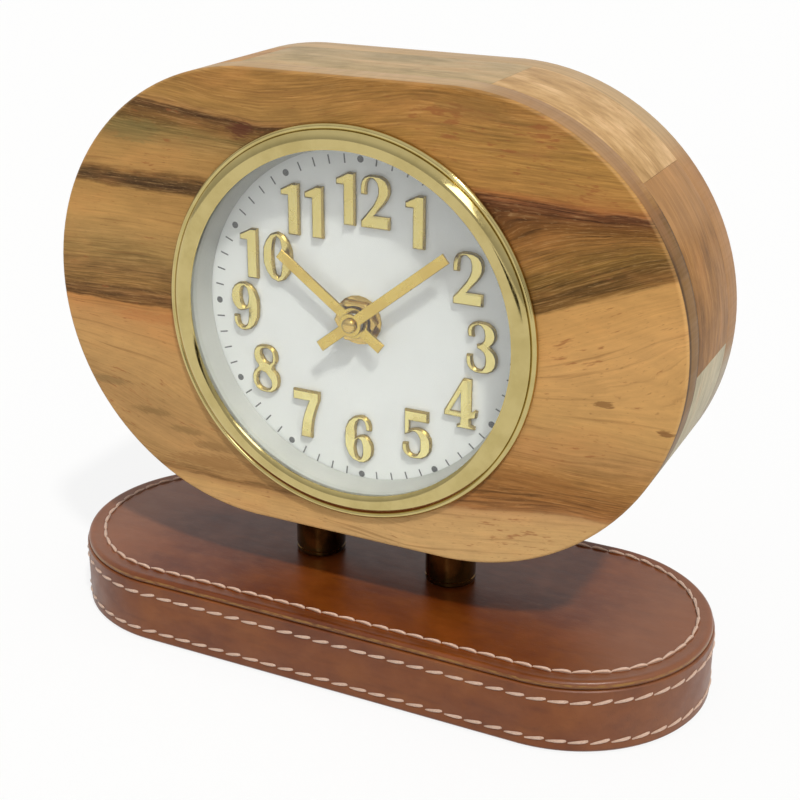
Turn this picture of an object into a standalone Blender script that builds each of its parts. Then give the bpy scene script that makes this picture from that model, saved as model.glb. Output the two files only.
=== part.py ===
# Table clock: a wooden stadium-shaped case on two short posts over a leather-covered base.
# World frame: +Z up, front towards -Y, origin at the middle of the footprint on the table.
# All lengths are in metres, all angles in degrees until a function needs radians.

import math

import bmesh
import bpy

# Clearances
seat_gap = 0.0003          # between two pieces that touch or are pressed together
turn_gap = 0.0003          # round a shaft that turns
cut_overrun = 0.002        # how far a cutter runs past what it cuts
weld_distance = 0.000001   # points closer than this are one point

# Case, a laminated slab: front board, ring of glued blocks, back board
case_length = 0.188
case_height = 0.130
case_depth = 0.0475
front_board_depth = 0.0093
back_board_depth = 0.0095
case_edge_round = 0.0009
rear_bore_radius = 0.0430
ring_bore_radius = 0.0465
front_bore_radius = 0.0516
right_seam_angles = (83.5, 42.6, -3.0)   # where seams show, round the right end's middle from +X
left_seam_angles = (180.0, 96.5)         # round the left end's middle
bottom_block_margin = 0.0106             # wood beside the inserts in the bottom block
seam_margin = 0.7          # least angle between a seam and the next corner of the outside

# Base and posts
base_length = 0.201
base_width = 0.082
base_height = 0.0219
side_leather_thickness = 0.0014
top_leather_thickness = 0.0020
top_leather_inset = 0.0005
top_leather_round = 0.0010
side_leather_lift = 0.0006
felt_thickness = 0.0012
felt_inset = 0.0030
post_radius = 0.0075
post_height = 0.0195
post_spacing = 0.0436
post_chamfer = 0.0006

# Bolts that run from under the base, through the posts, into inserts in the case
bolt_radius = 0.0025
bolt_head_radius = 0.0046
bolt_head_height = 0.0030
bolt_head_round = 0.0008
bolt_point = 0.0004         # chamfer of the bolt's end
hex_key_radius = 0.0018
hex_key_depth = 0.0018
counterbore_depth = 0.0050
insert_radius = 0.0040
insert_length = 0.0120
bolt_reach = 0.0110

# Dial and its glazed bezel, on one axis a little below the middle of the case
dial_drop = 0.0022
dial_depth = 0.0085        # dial face behind the front of the case
dial_thickness = 0.0008
dial_radius = 0.0508
crystal_radius = 0.0503
crystal_thickness = 0.0018
crystal_rise = 0.0012      # front of the glass, before the front of the case
bezel_opening_radius = 0.0484
bezel_lip_thickness = 0.0003
bezel_band_width = 0.0051    # the rounded band round the glass
bezel_band_bulge = 0.00075   # its crest, above its two edges
bezel_groove_width = 0.0005
bezel_groove_depth = 0.0004
bezel_bead_width = 0.0014    # the bead outside the groove
bezel_bead_height = 0.0015   # above the front of the case
bezel_skirt_thickness = 0.0007
rim_foot_radius = 0.0472
rim_top_radius = 0.0486

# Raised numerals
numeral_height = 0.0144
numeral_thickness = 0.0012
numeral_circle_radius = 0.0350
numeral_spacing = 0.0017   # between the two digits of one number

# The numerals are set by hand. How far each stands off its place on the circle, right and up, in shares
# of the numeral height.
numeral_offset_shares = {
    1: (-0.03, -0.04), 2: (0.155, -0.07), 3: (0.135, -0.13), 4: (0.065, -0.075), 5: (0.055, -0.01),
    6: (0.02, -0.01), 7: (0.075, -0.02), 8: (0.055, -0.11), 9: (-0.045, -0.085), 10: (0.135, -0.195),
    11: (0.055, -0.10), 12: (0.125, -0.09),
}

# Hands
hand_width = 0.0031
hand_thickness = 0.0005
minute_hand_depth = 0.0030  # middle of the hand, behind the front of the case
hour_hand_depth = 0.0050
minute_hand_length = 0.0360
minute_tail_length = 0.0120
hour_hand_length = 0.0283
hour_tail_length = 0.0105
minute_boss_radius = 0.0033
hour_boss_radius = 0.0044
minute_hand_angle = 51.2    # clockwise from twelve
hour_hand_angle = 306.3
cap_radius = 0.0021
cap_height = 0.0014

# Movement, a square quartz movement clamped to the dial by its threaded bushing
movement_side = 0.0560
movement_depth = 0.0160
movement_corner_radius = 0.0030
shell_wall = 0.0015
shell_front_wall = 0.0012
shell_split_depth = 0.0080   # from the movement's front to the joint between its shells
bushing_radius = 0.0040
bushing_wall = 0.0010
bushing_flange_radius = 0.0058
bushing_flange_thickness = 0.0008
hour_pipe_wall = 0.0008
minute_arbor_radius = 0.0014
rear_arbor_radius = 0.0007
rubber_washer_radius = 0.0085
rubber_washer_thickness = 0.0008
brass_washer_radius = 0.0070
brass_washer_thickness = 0.0004
nut_across_flats = 0.0110
nut_thickness = 0.0018

# Teeth: widths in shares of a pitch, heights in shares of the module
tooth_share = 0.36          # at the pitch circle
tooth_tip_share = 0.11
tooth_root_share = 0.65
tooth_belly_share = 0.03    # how much fuller a curved flank is at the pitch circle
tooth_height_share = 0.85
tooth_depth_share = 1.2

# Motion work (turns the hour hand) and going train (turned by the rotor)
motion_module = 0.00045
train_module = 0.00025
cannon_teeth = 10
minute_wheel_teeth = 30
minute_pinion_teeth = 8
hour_wheel_teeth = 32
centre_wheel_teeth = 60
third_pinion_teeth = 8
third_wheel_teeth = 48
rotor_pinion_teeth = 6
wheel_thickness = 0.0010
wheel_spacing = 0.0008      # between wheels that pass over each other
minute_wheel_bearing = 135.0  # direction of each axis, seen from the front, from +X
third_wheel_bearing = 20.0
rotor_bearing = 62.0
set_arbor_radius = 0.0009
third_arbor_radius = 0.0005
rotor_arbor_radius = 0.0004
magnet_radius = 0.0024
magnet_length = 0.0022
knob_radius = 0.0055
knob_height = 0.0034
knob_ribs = 18
knob_rib_depth = 0.0004

# Motor, circuit and battery
stator_thickness = 0.0010
stator_arm_width = 0.0030
stator_length = 0.0190
coil_radius = 0.0034
coil_length = 0.0108
board_thickness = 0.0010
board_width = 0.0105
board_length = 0.0300
battery_length = 0.0505
battery_radius = 0.0071
battery_tip_radius = 0.0026
battery_tip_height = 0.0012
battery_edge_round = 0.0006
contact_thickness = 0.0004
contact_width = 0.0080
bay_partition = 0.0010

# Finishes: colour as linear red, green and blue, roughness, metallic
finishes = {
    "wood": ((0.50, 0.27, 0.10), 0.45, 0.0),
    "leather": ((0.20, 0.075, 0.035), 0.40, 0.0),
    "felt": ((0.03, 0.03, 0.03), 0.95, 0.0),
    "bronze": ((0.14, 0.09, 0.05), 0.35, 0.9),
    "brass": ((0.80, 0.58, 0.22), 0.20, 1.0),
    "gold": ((0.72, 0.52, 0.20), 0.35, 0.8),
    "steel": ((0.55, 0.55, 0.55), 0.35, 1.0),
    "glass": ((0.95, 0.97, 0.97), 0.02, 0.0),
    "white": ((0.75, 0.76, 0.75), 0.50, 0.0),
    "black_plastic": ((0.02, 0.02, 0.02), 0.45, 0.0),
    "nylon": ((0.70, 0.70, 0.64), 0.50, 0.0),
    "rubber": ((0.03, 0.03, 0.03), 0.80, 0.0),
    "magnet": ((0.18, 0.18, 0.18), 0.40, 0.7),
    "copper": ((0.62, 0.25, 0.12), 0.35, 0.9),
    "circuit": ((0.02, 0.16, 0.06), 0.50, 0.0),
    "battery": ((0.12, 0.12, 0.13), 0.35, 0.3),
}

# Facets: points round a whole circle, by how large the circle is
small_steps = 16
medium_steps = 20
large_steps = 48
cap_steps = 18             # along each rounded end of the case and the base
numeral_steps = 2          # between two points of a numeral's outline
corner_steps = 3           # round each corner of the movement
boss_steps = 8             # round each half of a hand's boss
dome_steps = 5
band_steps = 5             # across the bezel's band
bead_steps = 2             # over its bead
sheet_round_steps = 2      # over the top sheet's rounded edge
board_round_steps = 1      # over the case's softened edges
dome_sweep = 75            # how far down its side the hand cap's dome runs
nut_sides = 6
sharp_angle = 30           # a sharper edge than this is shaded as an edge
flat_angle = 0.1           # faces that differ by less are one flat face

# Outlines of the digits, in shares of the numeral height. A corner is sharp and the rest are smooth.
corner = "VECTOR"
smooth = "AUTO"
oval_outer_shares = (
    (0.32, 0.0, smooth), (0.07, 0.19, smooth), (0.0, 0.50, smooth), (0.07, 0.81, smooth),
    (0.32, 1.0, smooth), (0.57, 0.81, smooth), (0.64, 0.50, smooth), (0.57, 0.19, smooth),
)
oval_inner_shares = (
    (0.32, 0.10, smooth), (0.24, 0.26, smooth), (0.225, 0.50, smooth), (0.24, 0.74, smooth),
    (0.32, 0.90, smooth), (0.40, 0.74, smooth), (0.415, 0.50, smooth), (0.40, 0.26, smooth),
)
six_outer_shares = (
    (0.465, 0.70, corner), (0.575, 0.70, corner), (0.57, 0.83, smooth), (0.49, 0.96, smooth),
    (0.33, 1.0, smooth), (0.09, 0.86, smooth), (0.0, 0.50, smooth), (0.08, 0.14, smooth),
    (0.32, 0.0, smooth), (0.54, 0.09, smooth), (0.62, 0.31, smooth), (0.55, 0.52, smooth),
    (0.41, 0.60, smooth), (0.235, 0.53, corner), (0.25, 0.77, smooth), (0.33, 0.91, smooth),
    (0.43, 0.88, smooth),
)
six_inner_shares = (
    (0.315, 0.09, smooth), (0.245, 0.20, smooth), (0.24, 0.38, smooth), (0.31, 0.50, smooth),
    (0.375, 0.42, smooth), (0.39, 0.28, smooth), (0.375, 0.15, smooth),
)
six_width_share = 0.62
nine_outer_shares = tuple((six_width_share - x, 1.0 - y, kind) for x, y, kind in six_outer_shares)
nine_inner_shares = tuple((six_width_share - x, 1.0 - y, kind) for x, y, kind in six_inner_shares)
digit_outline_shares = {
    "0": (oval_outer_shares, oval_inner_shares),
    "1": ((
        (0.155, 0.0, corner), (0.395, 0.0, corner), (0.395, 1.0, corner), (0.25, 1.0, corner),
        (0.16, 0.95, smooth), (0.0, 0.87, corner), (0.0, 0.755, corner), (0.155, 0.755, corner),
    ),),
    "2": ((
        (0.0, 0.0, corner), (0.59, 0.0, corner), (0.59, 0.235, corner), (0.25, 0.235, corner),
        (0.40, 0.38, smooth), (0.55, 0.57, smooth), (0.595, 0.76, smooth), (0.51, 0.94, smooth),
        (0.29, 1.0, smooth), (0.08, 0.955, smooth), (0.0, 0.80, smooth), (0.0, 0.62, corner),
        (0.115, 0.62, corner), (0.12, 0.79, smooth), (0.165, 0.90, smooth), (0.26, 0.925, smooth),
        (0.355, 0.77, smooth), (0.32, 0.56, smooth), (0.17, 0.33, smooth), (0.0, 0.13, corner),
    ),),
    "3": ((
        (0.03, 0.69, corner), (0.145, 0.69, corner), (0.125, 0.82, smooth), (0.18, 0.91, smooth),
        (0.27, 0.92, smooth), (0.35, 0.76, smooth), (0.31, 0.61, smooth), (0.20, 0.56, corner),
        (0.20, 0.485, corner), (0.33, 0.42, smooth), (0.375, 0.26, smooth), (0.31, 0.085, smooth),
        (0.19, 0.085, smooth), (0.12, 0.20, smooth), (0.115, 0.34, corner), (0.0, 0.34, corner),
        (0.0, 0.18, smooth), (0.09, 0.04, smooth), (0.30, 0.0, smooth), (0.53, 0.07, smooth),
        (0.61, 0.26, smooth), (0.56, 0.43, smooth), (0.45, 0.525, corner), (0.54, 0.62, smooth),
        (0.58, 0.76, smooth), (0.50, 0.935, smooth), (0.29, 1.0, smooth), (0.09, 0.955, smooth),
        (0.01, 0.82, smooth),
    ),),
    "4": (
        (
            (0.26, 0.0, corner), (0.63, 0.0, corner), (0.63, 0.06, corner), (0.545, 0.09, corner),
            (0.545, 0.215, corner), (0.66, 0.245, corner), (0.68, 0.38, corner), (0.62, 0.40, corner),
            (0.545, 0.335, corner), (0.545, 1.0, corner), (0.37, 1.0, corner), (0.0, 0.31, corner),
            (0.0, 0.215, corner), (0.335, 0.215, corner), (0.335, 0.09, corner), (0.26, 0.06, corner),
        ),
        ((0.12, 0.315, corner), (0.335, 0.315, corner), (0.335, 0.72, corner)),
    ),
    "5": ((
        (0.04, 1.0, corner), (0.04, 0.47, corner), (0.14, 0.51, corner), (0.22, 0.56, smooth),
        (0.32, 0.52, smooth), (0.375, 0.32, smooth), (0.31, 0.095, smooth), (0.20, 0.085, smooth),
        (0.125, 0.17, smooth), (0.115, 0.31, corner), (0.0, 0.30, corner), (0.0, 0.16, smooth),
        (0.09, 0.035, smooth), (0.28, 0.0, smooth), (0.53, 0.09, smooth), (0.61, 0.33, smooth),
        (0.53, 0.56, smooth), (0.35, 0.645, smooth), (0.21, 0.625, smooth), (0.14, 0.59, corner),
        (0.14, 0.78, corner), (0.54, 0.78, corner), (0.54, 1.0, corner),
    ),),
    "6": (six_outer_shares, six_inner_shares),
    "7": ((
        (0.0, 1.0, corner), (0.0, 0.785, corner), (0.35, 0.785, corner), (0.24, 0.50, smooth),
        (0.185, 0.25, smooth), (0.165, 0.0, corner), (0.415, 0.0, corner), (0.43, 0.25, smooth),
        (0.48, 0.50, smooth), (0.59, 0.82, corner), (0.59, 1.0, corner),
    ),),
    "8": (
        (
            (0.30, 1.0, smooth), (0.11, 0.95, smooth), (0.04, 0.78, smooth), (0.08, 0.63, smooth),
            (0.145, 0.54, smooth), (0.04, 0.43, smooth), (0.0, 0.27, smooth), (0.08, 0.06, smooth),
            (0.30, 0.0, smooth), (0.53, 0.07, smooth), (0.61, 0.27, smooth), (0.57, 0.43, smooth),
            (0.475, 0.53, smooth), (0.545, 0.64, smooth), (0.575, 0.78, smooth), (0.49, 0.95, smooth),
        ),
        (
            (0.32, 0.93, smooth), (0.22, 0.87, smooth), (0.24, 0.76, smooth), (0.40, 0.63, smooth),
            (0.465, 0.77, smooth), (0.42, 0.90, smooth),
        ),
        (
            (0.28, 0.075, smooth), (0.14, 0.15, smooth), (0.125, 0.31, smooth), (0.20, 0.44, smooth),
            (0.38, 0.32, smooth), (0.43, 0.20, smooth), (0.39, 0.10, smooth),
        ),
    ),
    "9": (nine_outer_shares, nine_inner_shares),
}

# Places worked out from the sizes above
case_middle_height = base_height + post_height + case_height / 2
case_end_radius = case_height / 2
case_end_reach = case_length / 2 - case_end_radius   # from the middle of the case to that of an end
bottom_block_half = post_spacing / 2 + insert_radius + bottom_block_margin
front_plane = -case_depth / 2
movement_front = -(dial_depth + dial_thickness + rubber_washer_thickness + 2 * seat_gap)
movement_rear = movement_front - movement_depth
inner_front = movement_front - shell_front_wall
inner_rear = movement_rear + shell_front_wall
battery_axis_depth = inner_front - seat_gap - battery_radius
bay_half_length = battery_length / 2 + contact_thickness + 2 * seat_gap
bay_bottom = -movement_side / 2 + shell_wall
bay_top = bay_bottom + 2 * (battery_radius + seat_gap)
wheel_room_bottom = bay_top + bay_partition


def clear_scene():
    for thing in list(bpy.data.objects):
        bpy.data.objects.remove(thing, do_unlink=True)


def new_collection(name):
    collection = bpy.data.collections.new(name)
    bpy.context.scene.collection.children.link(collection)
    return collection


def give_finish(piece, finish):
    colour, roughness, metallic = finishes[finish]
    material = bpy.data.materials.new(piece.name + "_" + finish)
    material.use_nodes = True
    shader = material.node_tree.nodes["Principled BSDF"]
    shader.inputs["Base Color"].default_value = (*colour, 1.0)
    shader.inputs["Roughness"].default_value = roughness
    shader.inputs["Metallic"].default_value = metallic
    piece.data.materials.clear()
    piece.data.materials.append(material)


def add_piece(name, mesh, finish, carrier=None, place=(0, 0, 0), turn=0.0):
    piece = bpy.data.objects.new(name, mesh)
    parts.objects.link(piece)
    piece.parent = carrier
    piece.location = place
    piece.rotation_euler = (0, 0, math.radians(turn))
    if finish:
        give_finish(piece, finish)
    mesh.shade_smooth()
    mesh.set_sharp_from_angle(angle=math.radians(sharp_angle))
    return piece


def make_tool(tool):
    # A cutter, or a shape that is joined to a piece, is kept out of the finished parts.
    parts.objects.unlink(tool)
    cutters.objects.link(tool)
    tool.hide_render = True
    tool.display_type = "WIRE"
    return tool


def combine(piece, tool, how):
    change = piece.modifiers.new(tool.name, "BOOLEAN")
    change.operation = how
    change.solver = "EXACT"
    change.object = make_tool(tool)


def cut(piece, *tools):
    for tool in tools:
        combine(piece, tool, "DIFFERENCE")


def join(piece, *tools):
    for tool in tools:
        combine(piece, tool, "UNION")


def round_edges(piece, width, segments, chosen):
    # Rounds the sharp edges whose two ends are both chosen by the test given.
    weights = piece.data.attributes.new("bevel_weight_edge", "FLOAT", "EDGE")
    spots = piece.data.vertices
    for edge in piece.data.edges:
        if all(chosen(spots[index].co) for index in edge.vertices):
            weights.data[edge.index].value = 1.0
    bevel = piece.modifiers.new("edge_round", "BEVEL")
    bevel.width = width
    bevel.segments = segments
    bevel.limit_method = "WEIGHT"


def mesh_from_curve(name, curve):
    # A filled curve becomes one closed mesh: its caps are welded and flat faces are merged.
    guide = bpy.data.objects.new(name + "_guide", curve)
    bpy.context.scene.collection.objects.link(guide)
    graph = bpy.context.evaluated_depsgraph_get()
    mesh = bpy.data.meshes.new_from_object(guide.evaluated_get(graph))
    bpy.data.objects.remove(guide, do_unlink=True)
    body = bmesh.new()
    body.from_mesh(mesh)
    bmesh.ops.remove_doubles(body, verts=body.verts, dist=weld_distance)
    bmesh.ops.dissolve_limit(
        body, angle_limit=math.radians(flat_angle), verts=body.verts, edges=body.edges, delimit={"NORMAL"}
    )
    bmesh.ops.recalc_face_normals(body, faces=body.faces)
    body.to_mesh(mesh)
    body.free()
    mesh.name = name
    return mesh


def flat_curve(name, thickness):
    curve = bpy.data.curves.new(name, "CURVE")
    curve.dimensions = "2D"
    curve.fill_mode = "BOTH"
    curve.extrude = thickness / 2
    return curve


def plate(name, loops, thickness, top, finish, carrier=None, place=(0, 0), turn=0.0):
    # A flat piece with straight-sided outlines. Its top face is at the height given.
    curve = flat_curve(name, thickness)
    for points in loops:
        spline = curve.splines.new("POLY")
        spline.points.add(len(points) - 1)
        for spot, (x, y) in zip(spline.points, points):
            spot.co = (x, y, 0, 1)
        spline.use_cyclic_u = True
    mesh = mesh_from_curve(name, curve)
    return add_piece(name, mesh, finish, carrier, (*place, top - thickness / 2), turn)


def turned(name, profile, steps, finish=None, carrier=None, place=(0, 0, 0)):
    # A turned piece. The profile is radius and height, down the outer side first.
    closed = profile[0][0] > 0
    count = len(profile)
    edges = [(index, index + 1) for index in range(count - 1)]
    if closed:
        edges.append((count - 1, 0))
    mesh = bpy.data.meshes.new(name)
    mesh.from_pydata([(radius, 0, height) for radius, height in profile], edges, [])
    piece = add_piece(name, mesh, finish, carrier, place)
    spin = piece.modifiers.new("turning", "SCREW")
    spin.axis = "Z"
    spin.angle = 2 * math.pi
    spin.steps = steps
    spin.render_steps = steps
    spin.use_merge_vertices = True
    spin.merge_threshold = weld_distance
    return piece


def rod(name, radius, bottom, top, steps, finish=None, carrier=None, place=(0, 0)):
    profile = [(0, top), (radius, top), (radius, bottom), (0, bottom)]
    return turned(name, profile, steps, finish, carrier, (*place, 0))


def ring(name, outer, inner, bottom, top, steps, finish=None, carrier=None, place=(0, 0)):
    profile = [(outer, top), (outer, bottom), (inner, bottom), (inner, top)]
    return turned(name, profile, steps, finish, carrier, (*place, 0))


def polar(radius, degrees):
    angle = math.radians(degrees)
    return (radius * math.cos(angle), radius * math.sin(angle))


def spread(start, stop, count):
    return [start + (stop - start) * index / count for index in range(count + 1)]


def around(middle, radius, angle):
    x, y = polar(radius, angle)
    return (middle[0] + x, middle[1] + y)


def arc(radius, start, stop, count, middle=(0, 0)):
    return [around(middle, radius, angle) for angle in spread(start, stop, count)]


def circle(radius, steps, middle=(0, 0)):
    return arc(radius, 0, 360, steps, middle)[:-1]


def stadium(length, width, middle_y=0.0):
    radius = width / 2
    reach = length / 2 - radius
    right = arc(radius, -90, 90, cap_steps, (reach, middle_y))
    left = arc(radius, 90, 270, cap_steps, (-reach, middle_y))
    return right + left


def rectangle(left, right, bottom, top):
    return [(left, bottom), (right, bottom), (right, top), (left, top)]


def rounded_rectangle(left, right, bottom, top, radius):
    middles = (
        (right - radius, top - radius), (left + radius, top - radius),
        (left + radius, bottom + radius), (right - radius, bottom + radius),
    )
    points = []
    for quarter, middle in enumerate(middles):
        points += arc(radius, 90 * quarter, 90 * (quarter + 1), corner_steps, middle)
    return points


def toothed(teeth, module, curved_flanks):
    pitch_radius = teeth * module / 2
    sides = [(pitch_radius - tooth_depth_share * module, tooth_root_share)]
    if curved_flanks:
        sides.append((pitch_radius, tooth_share + tooth_belly_share))
    sides.append((pitch_radius + tooth_height_share * module, tooth_tip_share))
    outline = []
    for index in range(teeth):
        outline += [polar(radius, 360 * (index - share / 2) / teeth) for radius, share in sides]
        outline += [polar(radius, 360 * (index + share / 2) / teeth) for radius, share in reversed(sides)]
    return outline


def gear(name, teeth, module, top, thickness, finish=None, place=(0, 0), turn=0.0, bore=0):
    # A pinion's few teeth have curved flanks.
    loops = [toothed(teeth, module, teeth <= cannon_teeth)]
    if bore:
        loops.append(circle(bore, small_steps))
    return plate(name, loops, thickness, top, finish, case_front, place, turn)


def centre_distance(first_teeth, second_teeth, module):
    return (first_teeth + second_teeth) * module / 2


def base_outline(inset):
    return stadium(base_length - 2 * inset, base_width - 2 * inset)


def build_base():
    core_bottom = felt_thickness + seat_gap
    core_top = base_height - top_leather_thickness - seat_gap
    posts_x = (-post_spacing / 2, post_spacing / 2)
    bolt_hole = bolt_radius + seat_gap

    core_outline = base_outline(side_leather_thickness + seat_gap)
    core = plate("base_core", [core_outline], core_top - core_bottom, core_top, "wood")
    sink_radius = bolt_head_radius + 2 * seat_gap
    sink_top = core_bottom + counterbore_depth
    tool_top = core_top + cut_overrun
    tool_bottom = core_bottom - cut_overrun
    profile = [
        (0, tool_top), (bolt_hole, tool_top), (bolt_hole, sink_top),
        (sink_radius, sink_top), (sink_radius, tool_bottom), (0, tool_bottom),
    ]
    for x in posts_x:
        cut(core, turned("core_hole", profile, small_steps, place=(x, 0, 0)))

    side_outline = [base_outline(0), base_outline(side_leather_thickness)]
    plate("base_side_leather", side_outline, core_top - side_leather_lift, core_top, "leather")

    sheet_outline = [base_outline(top_leather_inset)]
    sheet_outline += [circle(bolt_hole, medium_steps, (x, 0)) for x in posts_x]
    sheet = plate("base_top_leather", sheet_outline, top_leather_thickness, base_height, "leather")
    round_edges(sheet, top_leather_round, sheet_round_steps, lambda spot: spot.z > 0 and not near_posts(spot))

    plate("base_felt_pad", [base_outline(felt_inset)], felt_thickness, felt_thickness, "felt")

    for side, x in zip(("left", "right"), posts_x):
        build_post(side, x, core_bottom)


def near_posts(spot):
    return abs(spot.y) < post_radius and abs(spot.x) < post_spacing / 2 + post_radius


def build_post(side, x, core_bottom):
    foot = base_height + seat_gap
    head = base_height + post_height - seat_gap
    bore = bolt_radius + seat_gap
    profile = [
        (post_radius - post_chamfer, head), (post_radius, head - post_chamfer),
        (post_radius, foot + post_chamfer), (post_radius - post_chamfer, foot), (bore, foot), (bore, head),
    ]
    turned("support_post_" + side, profile, medium_steps, "bronze", place=(x, 0, 0))

    head_top = core_bottom + counterbore_depth - seat_gap
    head_bottom = head_top - bolt_head_height
    bolt_end = base_height + post_height + bolt_reach
    key_floor = head_bottom + hex_key_depth
    profile = [
        (0, bolt_end), (bolt_radius - bolt_point, bolt_end), (bolt_radius, bolt_end - bolt_point),
        (bolt_radius, head_top), (bolt_head_radius, head_top),
        (bolt_head_radius, head_bottom + bolt_head_round), (bolt_head_radius - bolt_head_round, head_bottom),
        (hex_key_radius, head_bottom), (hex_key_radius, key_floor), (0, key_floor),
    ]
    turned("base_bolt_" + side, profile, small_steps, "steel", place=(x, 0, 0))

    insert_bottom = base_height + post_height + seat_gap
    ring("case_insert_" + side, insert_radius, bore, insert_bottom, insert_bottom + insert_length,
         small_steps, "brass", place=(x, 0))


def build_case():
    # Local frame of everything in the case: x right, y up, z forward from the front of the case.
    outside = stadium(case_length, case_height, dial_drop)
    front_loops = [outside, circle(front_bore_radius, large_steps)]
    front = plate("case_front_board", front_loops, front_board_depth, 0, "wood", case_front)
    clear_of_bore = front_bore_radius + case_edge_round
    round_edges(front, case_edge_round, board_round_steps,
                lambda spot: spot.z > 0 and spot.xy.length > clear_of_bore)

    back_loops = [outside, circle(rear_bore_radius, large_steps)]
    back_top = back_board_depth - case_depth
    back = plate("case_back_board", back_loops, back_board_depth, back_top, "wood", case_front)
    round_edges(back, case_edge_round, board_round_steps, lambda spot: spot.z < 0)

    ring_top = -front_board_depth - seat_gap
    ring_depth = case_depth - front_board_depth - back_board_depth - 2 * seat_gap
    seams = seam_bearings()
    for index, last_seam in enumerate(seams):
        first_seam = seams[(index + 1) % len(seams)]
        outline = block_outline(first_seam, last_seam)
        block = plate("case_block_" + str(index + 1), [outline], ring_depth, ring_top, "wood", case_front)
        if first_seam < -90 < last_seam:
            drill_for_inserts(block)


def bearing(point):
    # Direction of a point from the bore's axis.
    return math.degrees(math.atan2(point[1], point[0]))


def follows(angle, earlier):
    # The same direction, counted on from the earlier one.
    return earlier + (angle - earlier) % 360


def seam_bearings():
    # Every seam is radial to the bore. They go clockwise from the top, two of them beside the inserts.
    right = [around((case_end_reach, dial_drop), case_end_radius, angle) for angle in right_seam_angles]
    left = [around((-case_end_reach, dial_drop), case_end_radius, angle) for angle in left_seam_angles]
    bottom = [(side * bottom_block_half, dial_drop - case_end_radius) for side in (1, -1)]
    return [bearing(point) for point in right + bottom + left]


def seam_ends(seam, shift, lap):
    # The two ends of a block's face at a seam, moved sideways by the shift: on the bore and outside.
    along = polar(1, seam)
    across = (-along[1], along[0])
    reach = math.sqrt(ring_bore_radius ** 2 - shift ** 2)
    inner = tuple(reach * a + shift * b for a, b in zip(along, across))
    for first, second in zip(lap, lap[1:] + lap[:1]):
        ahead = first[0] * along[0] + first[1] * along[1]
        first_side = first[0] * across[0] + first[1] * across[1] - shift
        second_side = second[0] * across[0] + second[1] * across[1] - shift
        if ahead > 0 and first_side <= 0 < second_side:
            share = first_side / (first_side - second_side)
            outer = tuple(a + share * (b - a) for a, b in zip(first, second))
    return inner, outer


def outside_between(first_seam, last_seam, lap):
    # The points of the case's outline that lie between two seams, in order.
    sweep = follows(last_seam, first_seam) - first_seam
    chosen = []
    for point in lap:
        travelled = follows(bearing(point), first_seam) - first_seam
        chosen.append(seam_margin < travelled < sweep - seam_margin)
    first = next((index for index, inside in enumerate(chosen) if inside and not chosen[index - 1]), 0)
    return [lap[(first + step) % len(lap)] for step in range(sum(chosen))]


def block_outline(first_seam, last_seam):
    # Round the outside from the first seam to the last, then back along the bore.
    lap = stadium(case_length, case_height, dial_drop)
    first_inner, first_outer = seam_ends(first_seam, seat_gap / 2, lap)
    last_inner, last_outer = seam_ends(last_seam, -seat_gap / 2, lap)
    bore_stop = bearing(first_inner)
    bore_start = follows(bearing(last_inner), bore_stop)
    count = max(2, round((bore_start - bore_stop) * large_steps / 360))
    bore = arc(ring_bore_radius, bore_start, bore_stop, count)[1:-1]
    outside = outside_between(first_seam, last_seam, lap)
    return [first_outer] + outside + [last_outer, last_inner] + bore + [first_inner]


def drill_for_inserts(block):
    hole_top = base_height + post_height + insert_length + 2 * seat_gap
    for x in (-post_spacing / 2, post_spacing / 2):
        hole = rod("insert_hole", insert_radius + seat_gap, base_height, hole_top, medium_steps, place=(x, 0))
        cut(block, hole)


def build_dial():
    hole = circle(bushing_radius + seat_gap, medium_steps)
    loops = [circle(dial_radius, large_steps), hole]
    plate("dial_plate", loops, dial_thickness, -dial_depth, "white", case_front)

    rim_foot = seat_gap - dial_depth
    rim_top = crystal_rise - crystal_thickness - seat_gap
    profile = [
        (crystal_radius, rim_top), (crystal_radius, rim_foot),
        (rim_foot_radius, rim_foot), (rim_top_radius, rim_top),
    ]
    turned("dial_rim", profile, large_steps, "white", case_front)

    glass_back = crystal_rise - crystal_thickness
    rod("crystal", crystal_radius, glass_back, crystal_rise, large_steps, "glass", case_front)

    skirt_outer = front_bore_radius - seat_gap
    skirt_inner = skirt_outer - bezel_skirt_thickness
    lip_back = crystal_rise + seat_gap
    profile = bezel_face(lip_back + bezel_lip_thickness)
    profile += [(skirt_outer, seat_gap), (skirt_outer, rim_foot), (skirt_inner, rim_foot),
                (skirt_inner, lip_back), (bezel_opening_radius, lip_back)]
    turned("bezel", profile, large_steps, "brass", case_front)


def bezel_face(edge_height):
    # The bezel's section from the opening outwards: a rounded band, a groove and a bead down to the wood.
    points = []
    for share in spread(0, 1, band_steps):
        bulge = bezel_band_bulge * (1 - (2 * share - 1) ** 2)
        points.append((bezel_opening_radius + bezel_band_width * share, edge_height + bulge))
    groove = bezel_opening_radius + bezel_band_width + bezel_groove_width / 2
    points.append((groove, bezel_bead_height - bezel_groove_depth))
    bead_inner = groove + bezel_groove_width / 2
    for angle in spread(90, 0, bead_steps):
        across, up = polar(1, angle)
        height = seat_gap + (bezel_bead_height - seat_gap) * up
        points.append((bead_inner + bezel_bead_width * across, height))
    return points


def digit_width(digit):
    return numeral_height * max(x for x, y, kind in digit_outline_shares[digit][0])


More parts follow.
